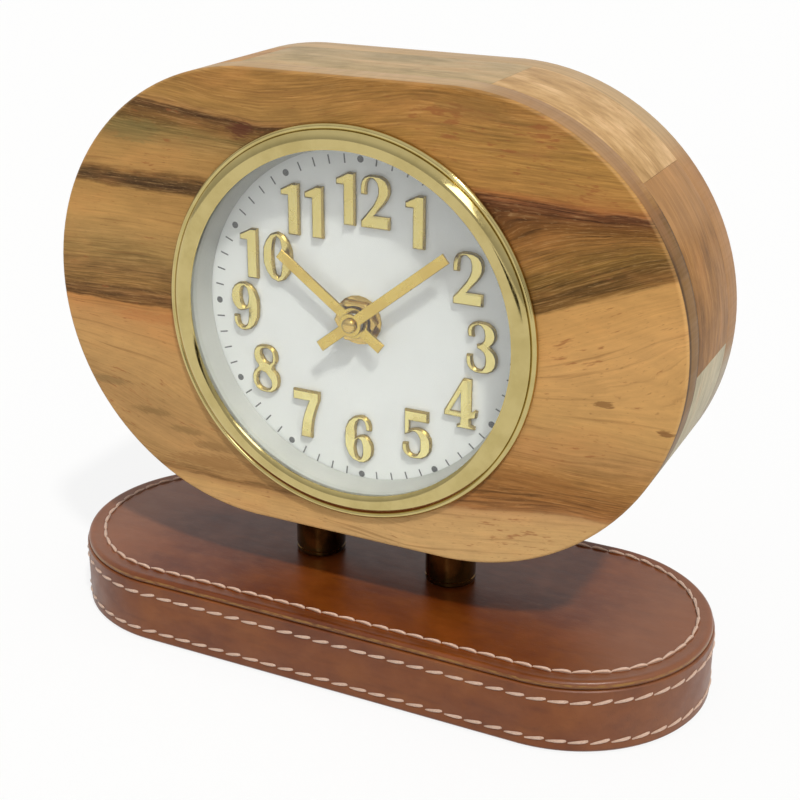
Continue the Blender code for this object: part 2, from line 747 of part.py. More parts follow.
def build_digit(name, digit, left, bottom):
    curve = flat_curve(name, numeral_thickness)
    curve.resolution_u = numeral_steps
    for outline in digit_outline_shares[digit]:
        spline = curve.splines.new("BEZIER")
        spline.bezier_points.add(len(outline) - 1)
        for spot, (x_share, y_share, kind) in zip(spline.bezier_points, outline):
            spot.co = (x_share * numeral_height, y_share * numeral_height, 0)
            spot.handle_left_type = kind
            spot.handle_right_type = kind
        spline.use_cyclic_u = True
    mesh = mesh_from_curve(name, curve)
    middle = seat_gap - dial_depth + numeral_thickness / 2
    add_piece(name, mesh, "gold", case_front, (left, bottom, middle))


def build_numerals():
    for hour in range(1, 13):
        digits = str(hour)
        widths = [digit_width(digit) for digit in digits]
        whole = sum(widths) + numeral_spacing * (len(digits) - 1)
        middle = polar(numeral_circle_radius, 90 - 30 * hour)
        right_share, up_share = numeral_offset_shares[hour]
        left = middle[0] + right_share * numeral_height - whole / 2
        bottom = middle[1] + up_share * numeral_height - numeral_height / 2
        for place, (digit, width) in enumerate(zip(digits, widths)):
            suffix = "" if len(digits) == 1 else ("_tens", "_ones")[place]
            build_digit("numeral_" + digits + suffix, digit, left, bottom)
            left += width + numeral_spacing


def hand_outline(length, tail, boss_radius):
    # A straight baton, along +Y, that swells into a round boss at the axis.
    half = hand_width / 2
    lean = math.degrees(math.asin(half / boss_radius))
    right = arc(boss_radius, -90 + lean, 90 - lean, boss_steps)
    left = arc(boss_radius, 90 + lean, 270 - lean, boss_steps)
    return [(half, -tail)] + right + [(half, length), (-half, length)] + left + [(-half, -tail)]


def build_hand(name, depth, angle, length, tail, boss_radius, bore):
    loops = [hand_outline(length, tail, boss_radius), circle(bore, small_steps)]
    top = hand_thickness / 2 - depth
    plate(name, loops, hand_thickness, top, "gold", case_front, turn=-angle)


def build_hands():
    hour_bore = bushing_radius - bushing_wall - turn_gap + seat_gap
    build_hand("hour_hand", hour_hand_depth, hour_hand_angle, hour_hand_length, hour_tail_length,
               hour_boss_radius, hour_bore)
    minute_bore = minute_arbor_radius + seat_gap
    build_hand("minute_hand", minute_hand_depth, minute_hand_angle, minute_hand_length, minute_tail_length,
               minute_boss_radius, minute_bore)

    cap_foot = hand_thickness / 2 - minute_hand_depth + seat_gap
    slopes = [polar(1, 90 - angle) for angle in spread(0, dome_sweep, dome_steps)]
    dome = [(cap_radius * across, cap_foot + cap_height * up) for across, up in slopes]
    turned("hand_cap", dome + [(cap_radius, cap_foot), (0, cap_foot)], small_steps, "gold", case_front)


def build_fixings():
    # What clamps the movement to the dial, from the front: nut, brass washer, dial, rubber washer.
    washer_bore = bushing_radius + seat_gap
    washer_foot = seat_gap - dial_depth
    washer_top = washer_foot + brass_washer_thickness
    ring("brass_washer", brass_washer_radius, washer_bore, washer_foot, washer_top, medium_steps, "brass",
         case_front)
    nut_radius = nut_across_flats / 2 / math.cos(math.pi / nut_sides)
    loops = [circle(nut_radius, nut_sides), circle(washer_bore, medium_steps)]
    nut_top = washer_top + seat_gap + nut_thickness
    plate("hex_nut", loops, nut_thickness, nut_top, "brass", case_front)
    rubber_top = -dial_depth - dial_thickness - seat_gap
    rubber_foot = rubber_top - rubber_washer_thickness
    ring("rubber_washer", rubber_washer_radius, washer_bore, rubber_foot, rubber_top, medium_steps, "rubber",
         case_front)

    flange_top = inner_front - seat_gap
    flange_foot = flange_top - bushing_flange_thickness
    bore = bushing_radius - bushing_wall
    profile = [(bushing_radius, nut_top), (bushing_radius, flange_top), (bushing_flange_radius, flange_top),
               (bushing_flange_radius, flange_foot), (bore, flange_foot), (bore, nut_top)]
    turned("threaded_bushing", profile, medium_steps, "brass", case_front)


def wheel_levels():
    # Heights of the wheels' front faces, from the bushing's flange to the rear.
    hour_top = inner_front - bushing_flange_thickness - 2 * seat_gap
    minute_top = hour_top - wheel_thickness - wheel_spacing
    centre_top = minute_top - wheel_thickness - wheel_spacing
    third_top = centre_top - wheel_thickness - wheel_spacing
    return hour_top, minute_top, centre_top, third_top


def wheel_axes():
    minute = polar(centre_distance(cannon_teeth, minute_wheel_teeth, motion_module), minute_wheel_bearing)
    third = polar(centre_distance(centre_wheel_teeth, third_pinion_teeth, train_module), third_wheel_bearing)
    step = polar(centre_distance(third_wheel_teeth, rotor_pinion_teeth, train_module), rotor_bearing)
    rotor = (third[0] + step[0], third[1] + step[1])
    return minute, third, rotor


def mesh_turn(teeth, direction, driver_teeth, driver_turn):
    # Turns a wheel so that a gap faces a tooth of its driver along the line between their axes.
    tooth_angle = 360 / driver_teeth
    offset = (direction - driver_turn) / tooth_angle
    lead = (offset - math.floor(offset)) * tooth_angle
    follow = -lead * driver_teeth / teeth
    return direction + 180 - follow + 180 / teeth


def build_wheels():
    # A pinion stands on its wheel's front face and reaches a quarter of the spacing past the next wheel.
    hour_top, minute_top, centre_top, third_top = wheel_levels()
    minute_axis, third_axis, rotor_axis = wheel_axes()
    pivot_front = inner_front - seat_gap
    pivot_rear = inner_rear + seat_gap
    reach = wheel_spacing / 4
    pinion_length = wheel_thickness + wheel_spacing

    pipe_outer = bushing_radius - bushing_wall - turn_gap
    pipe_inner = pipe_outer - hour_pipe_wall
    pipe_top = hand_thickness / 2 - hour_hand_depth
    hour_wheel = gear("hour_wheel", hour_wheel_teeth, motion_module, hour_top, wheel_thickness, "nylon",
                      bore=pipe_inner)
    join(hour_wheel, ring("hour_pipe", pipe_outer, pipe_inner, hour_top - wheel_thickness / 2, pipe_top,
                          medium_steps, carrier=case_front))

    centre = gear("centre_wheel", centre_wheel_teeth, train_module, centre_top, wheel_thickness, "brass")
    cannon = gear("cannon_pinion", cannon_teeth, motion_module, minute_top + reach, pinion_length)
    arbor_top = hand_thickness / 2 - minute_hand_depth
    front_arbor = rod("minute_arbor", minute_arbor_radius, minute_top, arbor_top, small_steps,
                      carrier=case_front)
    rear_arbor = rod("centre_arbor", rear_arbor_radius, pivot_rear, minute_top, small_steps,
                     carrier=case_front)
    join(centre, cannon, front_arbor, rear_arbor)

    turn = mesh_turn(minute_wheel_teeth, minute_wheel_bearing, cannon_teeth, 0)
    minute_wheel = gear("minute_wheel", minute_wheel_teeth, motion_module, minute_top, wheel_thickness,
                        "nylon", minute_axis, turn)
    turn = mesh_turn(minute_pinion_teeth, minute_wheel_bearing, hour_wheel_teeth, 0)
    minute_pinion = gear("minute_pinion", minute_pinion_teeth, motion_module, hour_top + reach, pinion_length,
                         place=minute_axis, turn=turn)
    set_arbor = rod("set_arbor", set_arbor_radius, movement_rear - knob_height / 2, pivot_front, small_steps,
                    carrier=case_front, place=minute_axis)
    join(minute_wheel, minute_pinion, set_arbor)

    third_turn = mesh_turn(third_pinion_teeth, third_wheel_bearing, centre_wheel_teeth, 0)
    third = gear("third_wheel", third_wheel_teeth, train_module, third_top, wheel_thickness, "nylon",
                 third_axis, third_turn)
    third_pinion = gear("third_pinion", third_pinion_teeth, train_module, centre_top + reach, pinion_length,
                        place=third_axis, turn=third_turn)
    third_arbor = rod("third_arbor", third_arbor_radius, pivot_rear, pivot_front, small_steps,
                      carrier=case_front, place=third_axis)
    join(third, third_pinion, third_arbor)

    turn = mesh_turn(rotor_pinion_teeth, rotor_bearing, third_wheel_teeth, third_turn)
    magnet_top = third_top - wheel_thickness - wheel_spacing
    magnet_foot = magnet_top - magnet_length
    rotor = rod("rotor", magnet_radius, magnet_foot, magnet_top, medium_steps, "magnet", case_front,
                rotor_axis)
    rotor_pinion = gear("rotor_pinion", rotor_pinion_teeth, train_module, third_top + reach, pinion_length,
                        place=rotor_axis, turn=turn)
    rotor_arbor = rod("rotor_arbor", rotor_arbor_radius, pivot_rear, third_top + wheel_spacing, small_steps,
                      carrier=case_front, place=rotor_axis)
    join(rotor, rotor_pinion, rotor_arbor)
    build_motor(rotor_axis, (magnet_top + magnet_foot) / 2)
    build_knob(minute_axis)


def build_motor(rotor_axis, middle):
    # A C-shaped core with the rotor in its lower arm and the coil on its upper arm.
    hole = magnet_radius + seat_gap + turn_gap
    left = rotor_axis[0] - stator_length / 2
    right = rotor_axis[0] + stator_length / 2
    bottom = rotor_axis[1] - hole - stator_arm_width / 2
    window_bottom = rotor_axis[1] + hole + stator_arm_width / 2
    window_top = window_bottom + coil_radius + stator_arm_width / 2
    window = rectangle(left + stator_arm_width, right - stator_arm_width, window_bottom, window_top)
    outside = rectangle(left, right, bottom, window_top + stator_arm_width)
    loops = [outside, window, circle(hole, medium_steps, rotor_axis)]
    plate("stator", loops, stator_thickness, middle + stator_thickness / 2, "steel", case_front)

    coil_bore = math.hypot(stator_arm_width / 2, stator_thickness / 2) + seat_gap
    coil = ring("coil", coil_radius, coil_bore, -coil_length / 2, coil_length / 2, medium_steps, "copper",
                case_front)
    coil.location = (rotor_axis[0], window_top + stator_arm_width / 2, middle)
    coil.rotation_euler = (0, math.radians(90), 0)


def build_knob(axis):
    top = movement_rear - seat_gap
    outline = []
    for index in range(knob_ribs):
        outline.append(polar(knob_radius, 360 * index / knob_ribs))
        outline.append(polar(knob_radius - knob_rib_depth, 360 * (index + 1 / 2) / knob_ribs))
    knob = plate("set_knob", [outline], knob_height, top, "black_plastic", case_front, axis)
    socket_radius = set_arbor_radius + seat_gap
    socket = rod("knob_socket", socket_radius, movement_rear - knob_height / 2 - seat_gap, top + cut_overrun,
                 small_steps, carrier=case_front, place=axis)
    cut(knob, socket)


def shell(name, front, rear, room_front, room_rear):
    # One half of the movement's housing, with the wheels' room above and the battery bay below.
    half = movement_side / 2
    outline = rounded_rectangle(-half, half, -half, half, movement_corner_radius)
    body = plate(name, [outline], front - rear, front, "black_plastic", case_front)

    room_outline = rectangle(shell_wall - half, half - shell_wall, wheel_room_bottom, half - shell_wall)
    room = plate(name + "_room", [room_outline], room_front - room_rear, room_front, None, case_front)
    bay_outline = rectangle(-bay_half_length, bay_half_length, bay_bottom, bay_top)
    bay_rear = rear - cut_overrun
    bay = plate(name + "_bay", [bay_outline], room_front - bay_rear, room_front, None, case_front)
    cut(body, room, bay)
    return body


def build_movement():
    minute_axis = wheel_axes()[0]
    split = movement_front - shell_split_depth
    front = shell("movement_front_shell", movement_front, split, inner_front, split - cut_overrun)
    bushing_hole = rod("bushing_hole", bushing_radius + seat_gap, inner_front - cut_overrun,
                       movement_front + cut_overrun, medium_steps, carrier=case_front)
    cut(front, bushing_hole)

    rear_top = split - seat_gap
    rear = shell("movement_rear_shell", rear_top, movement_rear, rear_top + cut_overrun, inner_rear)
    arbor_hole = rod("arbor_hole", set_arbor_radius + turn_gap, movement_rear - cut_overrun,
                     inner_rear + cut_overrun, medium_steps, carrier=case_front, place=minute_axis)
    cut(rear, arbor_hole)


def build_battery():
    middle_y = bay_bottom + seat_gap + battery_radius
    half = battery_length / 2
    edge = battery_edge_round
    shoulder = half - battery_tip_height
    profile = [
        (0, half), (battery_tip_radius, half), (battery_tip_radius, shoulder),
        (battery_radius - edge, shoulder), (battery_radius, shoulder - edge),
        (battery_radius, edge - half), (battery_radius - edge, -half), (0, -half),
    ]
    cell = turned("battery", profile, medium_steps, "battery", case_front)
    cell.location = (0, middle_y, battery_axis_depth)
    cell.rotation_euler = (0, math.radians(90), 0)

    near = half + seat_gap
    far = near + contact_thickness
    for end, left, right in (("positive", near, far), ("negative", -far, -near)):
        strip = rectangle(left, right, middle_y - contact_width / 2, middle_y + contact_width / 2)
        top = battery_axis_depth + battery_radius
        plate("battery_contact_" + end, [strip], 2 * battery_radius, top, "steel", case_front)


def build_circuit():
    left = shell_wall - movement_side / 2 + seat_gap
    top = movement_side / 2 - shell_wall - seat_gap
    board = rectangle(left, left + board_width, top - board_length, top)
    board_top = inner_rear + seat_gap + board_thickness
    plate("circuit_board", [board], board_thickness, board_top, "circuit", case_front)


clear_scene()
parts = new_collection("table_clock")
cutters = new_collection("cutters")
case_front = bpy.data.objects.new("case_front", None)
bpy.context.scene.collection.objects.link(case_front)
case_front.location = (0, front_plane, case_middle_height - dial_drop)
case_front.rotation_euler = (math.radians(90), 0, 0)
bpy.context.view_layer.update()

build_base()
build_case()
build_dial()
build_numerals()
build_hands()
build_fixings()
build_wheels()
build_movement()
build_battery()
build_circuit()
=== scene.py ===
import math
from functools import partial

import bmesh
import bpy
from mathutils import Matrix, Vector


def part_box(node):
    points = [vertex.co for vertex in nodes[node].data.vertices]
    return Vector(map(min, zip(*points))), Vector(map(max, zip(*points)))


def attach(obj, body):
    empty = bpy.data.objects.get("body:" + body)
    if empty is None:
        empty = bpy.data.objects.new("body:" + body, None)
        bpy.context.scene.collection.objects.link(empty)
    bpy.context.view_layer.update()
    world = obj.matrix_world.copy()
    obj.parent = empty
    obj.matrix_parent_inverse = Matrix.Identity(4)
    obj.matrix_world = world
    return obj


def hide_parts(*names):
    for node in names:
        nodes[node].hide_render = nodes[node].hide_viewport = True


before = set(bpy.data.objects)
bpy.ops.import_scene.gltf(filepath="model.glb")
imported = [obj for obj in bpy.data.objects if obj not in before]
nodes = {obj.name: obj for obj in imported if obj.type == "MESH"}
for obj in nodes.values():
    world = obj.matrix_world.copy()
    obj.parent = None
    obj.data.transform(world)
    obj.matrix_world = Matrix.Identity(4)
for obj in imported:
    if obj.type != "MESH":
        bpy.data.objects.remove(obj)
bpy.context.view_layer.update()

mm = 0.001
weld = 0.000001            # points closer than this are one point
smoothAngle = 32           # degrees: a sharper edge than this is shaded as an edge
origin = Vector((0, 0, 0))
upAxis = Vector((0, 0, 1))
frontAxis = Vector((0, -1, 0))
# Settings that many nodes share: Map Range with soft ends, Mix that darkens, and three kinds of Math
soft = {"interpolation_type": "SMOOTHSTEP"}
darken = {"blend_type": "MULTIPLY"}
plus, minus, times = {"operation": "ADD"}, {"operation": "SUBTRACT"}, {"operation": "MULTIPLY"}
print("frame loaded, nodes:", len(nodes))


# Materials

def colourOf(text):
    # An sRGB hex colour as the linear colour that a shader wants
    levels = [int(text[i:i + 2], 16) / 255 for i in (1, 3, 5)]
    return tuple(v / 12.92 if v <= 0.04045 else ((v + 0.055) / 1.055) ** 2.4 for v in levels) + (1.0,)


def addNode(tree, kind, *values, named=None, stops=None, out=0, **settings):
    # Adds a node and gives one of its outputs, or the node itself where out is None. Values fill its inputs
    # in order: a number, a hex colour, a node's output, or None to leave one alone. Stops fill a ramp.
    node = tree.nodes.new("ShaderNode" + kind)
    for name, value in settings.items():
        setattr(node, name, value)
    for socket, value in [*enumerate(values), *(named or {}).items()]:
        if isinstance(value, bpy.types.NodeSocket):
            tree.links.new(value, node.inputs[socket])
        elif value is not None:
            node.inputs[socket].default_value = colourOf(value) if isinstance(value, str) else value
    if stops:
        elements = node.color_ramp.elements
        elements.remove(elements[1])
        elements[0].position, elements[0].color = stops[0][0], colourOf(stops[0][1])
        for spot, tint in stops[1:]:
            elements.new(spot).color = colourOf(tint)
    return node if out is None or not node.outputs else node.outputs[out]


def blankMaterial(name):
    material = bpy.data.materials.new(name)
    material.use_nodes = True
    material.node_tree.nodes.clear()
    return material, partial(addNode, material.node_tree)


def startMaterial(name):
    material, add = blankMaterial(name)
    return material, add, add("TexCoord", out="Object")


def endMaterial(material, add, inputs, height, depth):
    # Closes a material with its shader. Depth is what the height map's full range stands for, in mm.
    inputs["Normal"] = add("Bump", named={"Height": height, "Distance": depth * mm})
    add("OutputMaterial", add("BsdfPrincipled", named=inputs))
    return material


def speckle(add, place, size, detail, roughness, seed):
    # Noise whose commonest grains have the sizes given, in mm along X, Y and Z
    scale = tuple(1 / (mm * length) for length in size)
    laid = add("Mapping", place, (seed, seed * 1.7, seed * 2.3), None, scale)
    return add("TexNoise", laid, None, 1.0, detail, roughness)


def stain(add, colour, tint, noise, start, full, strength=1.0, **kind):
    # Lays a tint over a colour where a noise is past the start, softly up to its full strength
    share = add("MapRange", noise, start, full, 0.0, strength, **soft)
    return add("MixRGB", share, colour, tint, **kind)


def endDistance(add, across, along, reach):
    # How far a point is from the line between the two end middles of a stadium
    past = add("Math", add("Math", across, operation="ABSOLUTE"), reach, **minus)
    flat = add("CombineXYZ", add("Math", past, 0.0, operation="MAXIMUM"), along)
    return add("VectorMath", flat, operation="LENGTH", out="Value")


def between(add, value, low, high):
    # 1 where a length lies between two limits. Each limit is a soft step from one number of mm to another.
    risen = add("MapRange", value, low[0] * mm, low[1] * mm, **soft)
    return add("MapRange", value, high[0] * mm, high[1] * mm, risen, 0.0, **soft)


# Sizes that the scene takes from the frame
boardLow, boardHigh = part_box("case_front_board")
backLow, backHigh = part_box("case_back_board")
caseEnd = (boardHigh.z - boardLow.z) / 2                 # radius of the case's round ends
caseReach = (boardHigh.x - boardLow.x) / 2 - caseEnd     # from the case's middle to an end's middle
caseMiddle = Vector((0, 0, (boardHigh.z + boardLow.z) / 2))
frontFace = boardLow.y
dialLow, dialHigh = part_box("dial_plate")
dialMiddle = Vector((0, frontFace, (dialHigh.z + dialLow.z) / 2))
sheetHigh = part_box("base_top_leather")[1]
bandLow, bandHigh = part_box("base_side_leather")
bandEnd = (bandHigh.y - bandLow.y) / 2
baseReach = (bandHigh.x - bandLow.x) / 2 - bandEnd

woodNoise = {      # grain size in mm along X, Y and Z, detail, roughness, seed
    "longWave": ((36, 44, 13), 1.5, 0.5, 1.0), "shortWave": ((6, 18, 2.4), 3.0, 0.6, 4.0),
    "fibre": ((24, 24, 0.9), 3.0, 0.65, 7.0), "hair": ((9, 12, 0.42), 2.0, 0.6, 2.5),
    "pore": ((1.9, 2.6, 0.32), 2.0, 0.5, 9.0), "fleck": ((4.6, 6, 0.9), 2.5, 0.55, 15.0),
    "vein": ((48, 40, 1.3), 2.5, 0.55, 18.0), "endGrain": ((46, 1.3, 46), 3.0, 0.6, 21.0),
}
woodMarks = (      # noise, where it starts and is full, its tint and strength, whether on dark wood only
    ("vein", 0.56, 0.7, "veinTint", "veins", False), ("patch", 0.5, 0.75, "warm", "glow", False),
    ("hair", 0.56, 0.74, "pale", "hairs", True), ("pore", 0.42, 0.3, "pale", "dashes", True),
    ("pore", 0.62, 0.75, "poreTint", "pores", False),
)


def streaks(add, look, along, level):
    # Streaks by their height on the board, which climb or fall along it, each height at its own slope. The
    # board's two ends differ and meet behind the dial. Gives the colour, and how far fibres are lifted.
    tones, lifts = [], []
    for side in ("left", "right"):
        start, reach, slopes = look[side + "Slopes"]
        run = add("MapRange", along, (start - reach) * mm, (start + reach) * mm, -reach * mm, reach * mm)
        slope = slopes[0][1]
        for here, there in zip(slopes, slopes[1:]):
            change = add("MapRange", level, here[0] * mm, there[0] * mm, 0.0, there[1] - here[1], **soft)
            slope = add("Math", slope, change, **plus)
        lifts.append(add("Math", run, slope, **times))
        share = add("MapRange", add("Math", level, lifts[-1], **minus), -caseEnd, caseEnd)
        stops = [((z * mm + caseEnd) / (2 * caseEnd), tint) for z, tint in look[side]]
        tones.append(add("ValToRGB", share, stops=stops))
    meet, bend = look["meet"] * mm, look["fibreMeet"] * mm
    colour = add("MixRGB", add("MapRange", along, -meet, meet, **soft), *tones)
    return colour, add("MapRange", along, -bend, bend, *lifts, **soft)


def oval(add, place, x, z, wide, high, deep=40):
    # 1 in the middle of an oval on the front board and 0 at its edge, in mm from the case's middle
    middle = (-x / wide, -frontFace / (deep * mm), -(caseMiddle.z / mm + z) / high)
    laid = add("Mapping", place, middle, None, (1 / (wide * mm), 1 / (deep * mm), 1 / (high * mm)))
    return add("TexGradient", laid, gradient_type="SPHERICAL", out="Fac")


def wallTones(add, look, colour, place, spot, rise):
    # A board's outer wall: end grain with patches of other tones, some of them painted sheen, and a paler
    # sanded arris in front of them
    out = endDistance(add, spot["X"], rise, caseReach)
    wall = add("MapRange", out, caseEnd - 0.5 * mm, caseEnd - 0.1 * mm, **soft)
    lines = add("MapRange", speckle(add, place, *woodNoise["endGrain"]), 0.34, 0.66, 0.84, 1.14)
    inwards = add("Math", spot["Y"], frontFace, **minus)
    for low, high, near, far, tint, strength, start in look["wall"]:
        right = add("MapRange", spot["X"], (start - 10) * mm, (start + 10) * mm, 0.0, strength, **soft)
        deep = between(add, inwards, (near, near + 0.5), (far, far + 1.5))
        share = add("Math", between(add, rise, low, high), add("Math", deep, right, **times), **times)
        share = add("Math", share, wall, **times)
        colour = add("MixRGB", share, colour, add("MixRGB", 1.0, tint, lines, **darken))
    arris = add("Math", add("MapRange", out, caseEnd - 0.9 * mm, caseEnd - 0.3 * mm, **soft),
                add("MapRange", inwards, 1.0 * mm, 0.4 * mm, 0.0, look["arris"], **soft), **times)
    return add("MixRGB", arris, colour, look["pale"])


def acacia(name, look):
    # Acacia, planed, sanded and oiled: satin sheen over soft golden grain, dark heart streaks with wavy
    # fibres in them, red-brown flecks, short open pores and a few small knots
    material, add, place = startMaterial(name)
    spot = add("SeparateXYZ", place, out=None).outputs
    rise = add("Math", spot["Z"], caseMiddle.z, **minus)
    grain = add("Mapping", place, look["shift"], (0, math.radians(look["lean"]), 0))
    if look["quartered"]:
        # The layers of the grain stand on edge, so that they show as lines on the outside
        grain = add("Mapping", grain, None, (math.pi / 2, 0, 0))
    longWave = speckle(add, grain, *woodNoise["longWave"])
    bend = add("Math", add("Math", longWave, 0.5, **minus), look["sway"] * mm, **times)
    grain = add("VectorMath", grain, add("CombineXYZ", 0.0, 0.0, bend), **plus)
    shortWave = speckle(add, grain, *woodNoise["shortWave"])
    patch = speckle(add, grain, *look["patch"])

    if "left" in look:
        jitter = add("Math", add("Math", shortWave, 0.5, **minus), look["jitter"] * mm, **times)
        level = add("Math", rise, add("Math", bend, jitter, **plus), **plus)
        colour, lift = streaks(add, look, spot["X"], level)
        # The fibres run along with the streaks
        grain = add("VectorMath", grain, add("CombineXYZ", 0.0, 0.0, lift), **minus)
    else:
        broad = add("Math", add("Math", patch, 0.65, **times), add("Math", shortWave, 0.35, **times), **plus)
        count = len(look["tones"]) - 1
        stops = [(0.3 + 0.4 * i / count, tint) for i, tint in enumerate(look["tones"])]
        colour = add("ValToRGB", broad, stops=stops)
    noise = {kind: speckle(add, grain, *woodNoise[kind]) for kind in ("fibre", "hair", "pore", "vein")}
    noise["patch"] = patch
    fibre, hair, pore = noise["fibre"], noise["hair"], noise["pore"]

    # Light and dark fibres, faint in the sapwood and stronger where the wood is dark
    darkness = add("MapRange", add("RGBToBW", colour), 0.08, 0.34, 1.0, 0.0, **soft)
    tone = add("MapRange", patch, 0.3, 0.7, 1.0 - look["cloud"], 1.0 + look["cloud"])
    deep = look["deep"]
    swings = ((fibre, look["fibre"], deep), (hair, 0.035, deep * 0.9), (shortWave, 0.045, 0.06))
    for wave, light, dark in swings:
        swing = add("Math", add("MapRange", wave, 0.34, 0.66, -1.0, 1.0),
                    add("MapRange", darkness, 0.0, 1.0, light, dark), **times)
        tone = add("Math", tone, swing, **plus)
    colour = add("MixRGB", 1.0, colour, tone, **darken)
    colour = add("MixRGB", 1.0, colour, look["oil"], **darken)
    for kind, start, full, tint, strength, onDark in woodMarks:
        top = add("Math", darkness, look[strength], **times) if onDark else look[strength]
        colour = stain(add, colour, look[tint], noise[kind], start, full, top)

    # Flecks lie thicker in some places
    thick = add("MapRange", patch, 0.4, 0.7, -0.02, 0.05)
    for zone in look.get("fleckZones", ()):
        thick = add("Math", thick, add("Math", oval(add, place, *zone), 0.17, **times), **plus)
    fleck = add("Math", speckle(add, grain, *woodNoise["fleck"]), thick, **plus)
    colour = stain(add, colour, look["fleckTint"], fleck, 0.66, 0.78, 0.6)

    if "knots" in look:
        # A knot or stain is an oval that the grain makes ragged
        ragged = add("Math", add("Math", shortWave, hair, **plus), add("Math", pore, 1.5, **minus), **plus)
        ragged = add("Math", ragged, 1.1, **times)
        for *shape, tint, strength in look["knots"]:
            ball = oval(add, place, *shape)
            edge = add("MapRange", add("Math", ball, ragged, **plus), 0.15, 0.55, 0.0, strength, **soft)
            colour = stain(add, colour, tint, ball, 0.0, 0.15, edge)
    if "wall" in look:
        colour = wallTones(add, look, colour, place, spot, rise)

    gloss = add("MapRange", fibre, 0.3, 0.7, 0.52, 0.42, **soft)
    relief = add("Math", add("Math", hair, 0.5, **times), add("MapRange", pore, 0.64, 0.74, **soft), **minus)
    return endMaterial(material, add, {"Base Color": colour, "Roughness": gloss, "IOR": 1.5,
                                       "Specular IOR Level": 0.14}, relief, 0.02)


def burnishedLeather(name, look):
    # Vegetable-tanned cow leather, dyed, waxed and burnished by hand: cloudy chestnut with darker and
    # lighter patches, fine closed pores, a soft gloss, bands along its edge, and a painted sheen that makes
    # it paler towards both ends
    material, add, place = startMaterial(name)
    cloud = speckle(add, place, (26, 17, 17), 4.0, 0.6, 3.0)
    blotch = speckle(add, place, (7, 5, 5), 4.0, 0.62, 5.0)
    pull = speckle(add, place, (16, 3.2, 3.2), 3.0, 0.6, 8.0)
    fray = speckle(add, place, (3.2, 3.2, 0.7), 3.0, 0.6, 4.0)
    pores = add("TexVoronoi", place, None, 1 / (look["poreSize"] * mm), named={"Randomness": 1.0})
    dimple = add("MapRange", pores, 0.02, 0.3, **soft)
    colour = add("ValToRGB", cloud, stops=look["tones"])
    colour = stain(add, colour, look["light"], blotch, 0.42, 0.7, 0.22)
    colour = stain(add, colour, look["dark"], pull, 0.5, 0.34, 0.16, **darken)
    colour = stain(add, colour, look["dark"], dimple, 1.0, 0.0, 0.3, **darken)

    spot = add("SeparateXYZ", place, out=None).outputs
    out = endDistance(add, spot["X"], spot["Y"], baseReach)
    for low, high, tint, strength in look["rings"]:
        # Bands that follow the edge, between two distances from the middle line
        colour = add("MixRGB", add("Math", between(add, out, low, high), strength, **times), colour, tint)
    # Painted sheen: paler towards both ends, from the near to the far distance along the length
    near, far, tint, strength = look["ends"]
    past = add("Math", spot["X"], operation="ABSOLUTE")
    colour = stain(add, colour, tint, past, near * mm, far * mm, strength)
    for low, high, tint, strength in look["levels"]:
        # Bands that follow the edge, between two heights
        worn = add("MapRange", fray, 0.4, 0.6, strength * 0.2, strength, **soft)
        colour = add("MixRGB", add("Math", between(add, spot["Z"], low, high), worn, **times), colour, tint)
    gloss = add("MapRange", blotch, 0.3, 0.7, *look["gloss"], **soft)
    relief = add("Math", add("Math", dimple, 0.5, **times), add("Math", pull, 0.8, **times), **plus)
    return endMaterial(material, add, {"Base Color": colour, "Roughness": gloss, "IOR": 1.48,
                                       "Specular IOR Level": 0.4, "Coat Weight": 0.08, "Coat Roughness": 0.3},
                       relief, 0.06)


def waxedThread(name, look):
    # Waxed linen thread of two plies: a slanted rope pattern along each stitch, with painted shade in the
    # grooves between the plies and at the needle holes
    material, add, place = startMaterial(name)
    run = add("SeparateXYZ", add("TexCoord", out="UV"), out=None).outputs
    turns = add("Math", add("Math", run["X"], look["plies"], **times),
                add("Math", run["Y"], look["twists"], **times), **plus)
    wave = add("Math", add("Math", turns, math.pi, **times), operation="SINE")
    ply = add("Math", wave, operation="ABSOLUTE")
    fuzz = speckle(add, place, (0.5, 0.5, 0.5), 3.0, 0.6, 2.0)
    end = add("Math", add("Math", run["Y"], 0.5, **minus), operation="ABSOLUTE")
    # Painted shade in the grooves between the plies
    colour = stain(add, look["tint"], look["shade"], ply, 0.6, 0.1, 0.6)
    colour = stain(add, colour, look["shade"], fuzz, 0.4, 0.7, 0.35)
    # Painted shade at each end, where the thread goes into its needle hole
    colour = stain(add, colour, look["hole"], end, 0.4, 0.5, 0.8)
    return endMaterial(material, add, {"Base Color": colour, "Roughness": 0.62, "IOR": 1.5,
                                       "Sheen Weight": 0.2}, ply, 0.08)


def metal(name, tint, tarnish, worn, grit, gloss, relief):
    # Sheet or turned metal: the tint is its reflection, lathe or brush lines and fine wear break its gloss
    material, add, place = startMaterial(name)
    wear = speckle(add, place, (9, 9, 9), 4.0, 0.6, 1.0)
    fine = speckle(add, place, grit, 2.0, 0.6, 6.0)
    rough = add("Math", add("MapRange", wear, 0.3, 0.7, *gloss, **soft),
                add("MapRange", fine, 0.4, 0.7, 0.0, 0.06, **soft), **plus)
    return endMaterial(material, add, {"Base Color": stain(add, tint, tarnish, wear, 0.35, 0.7, worn),
                                       "Metallic": 1.0, "Roughness": rough}, fine, relief)


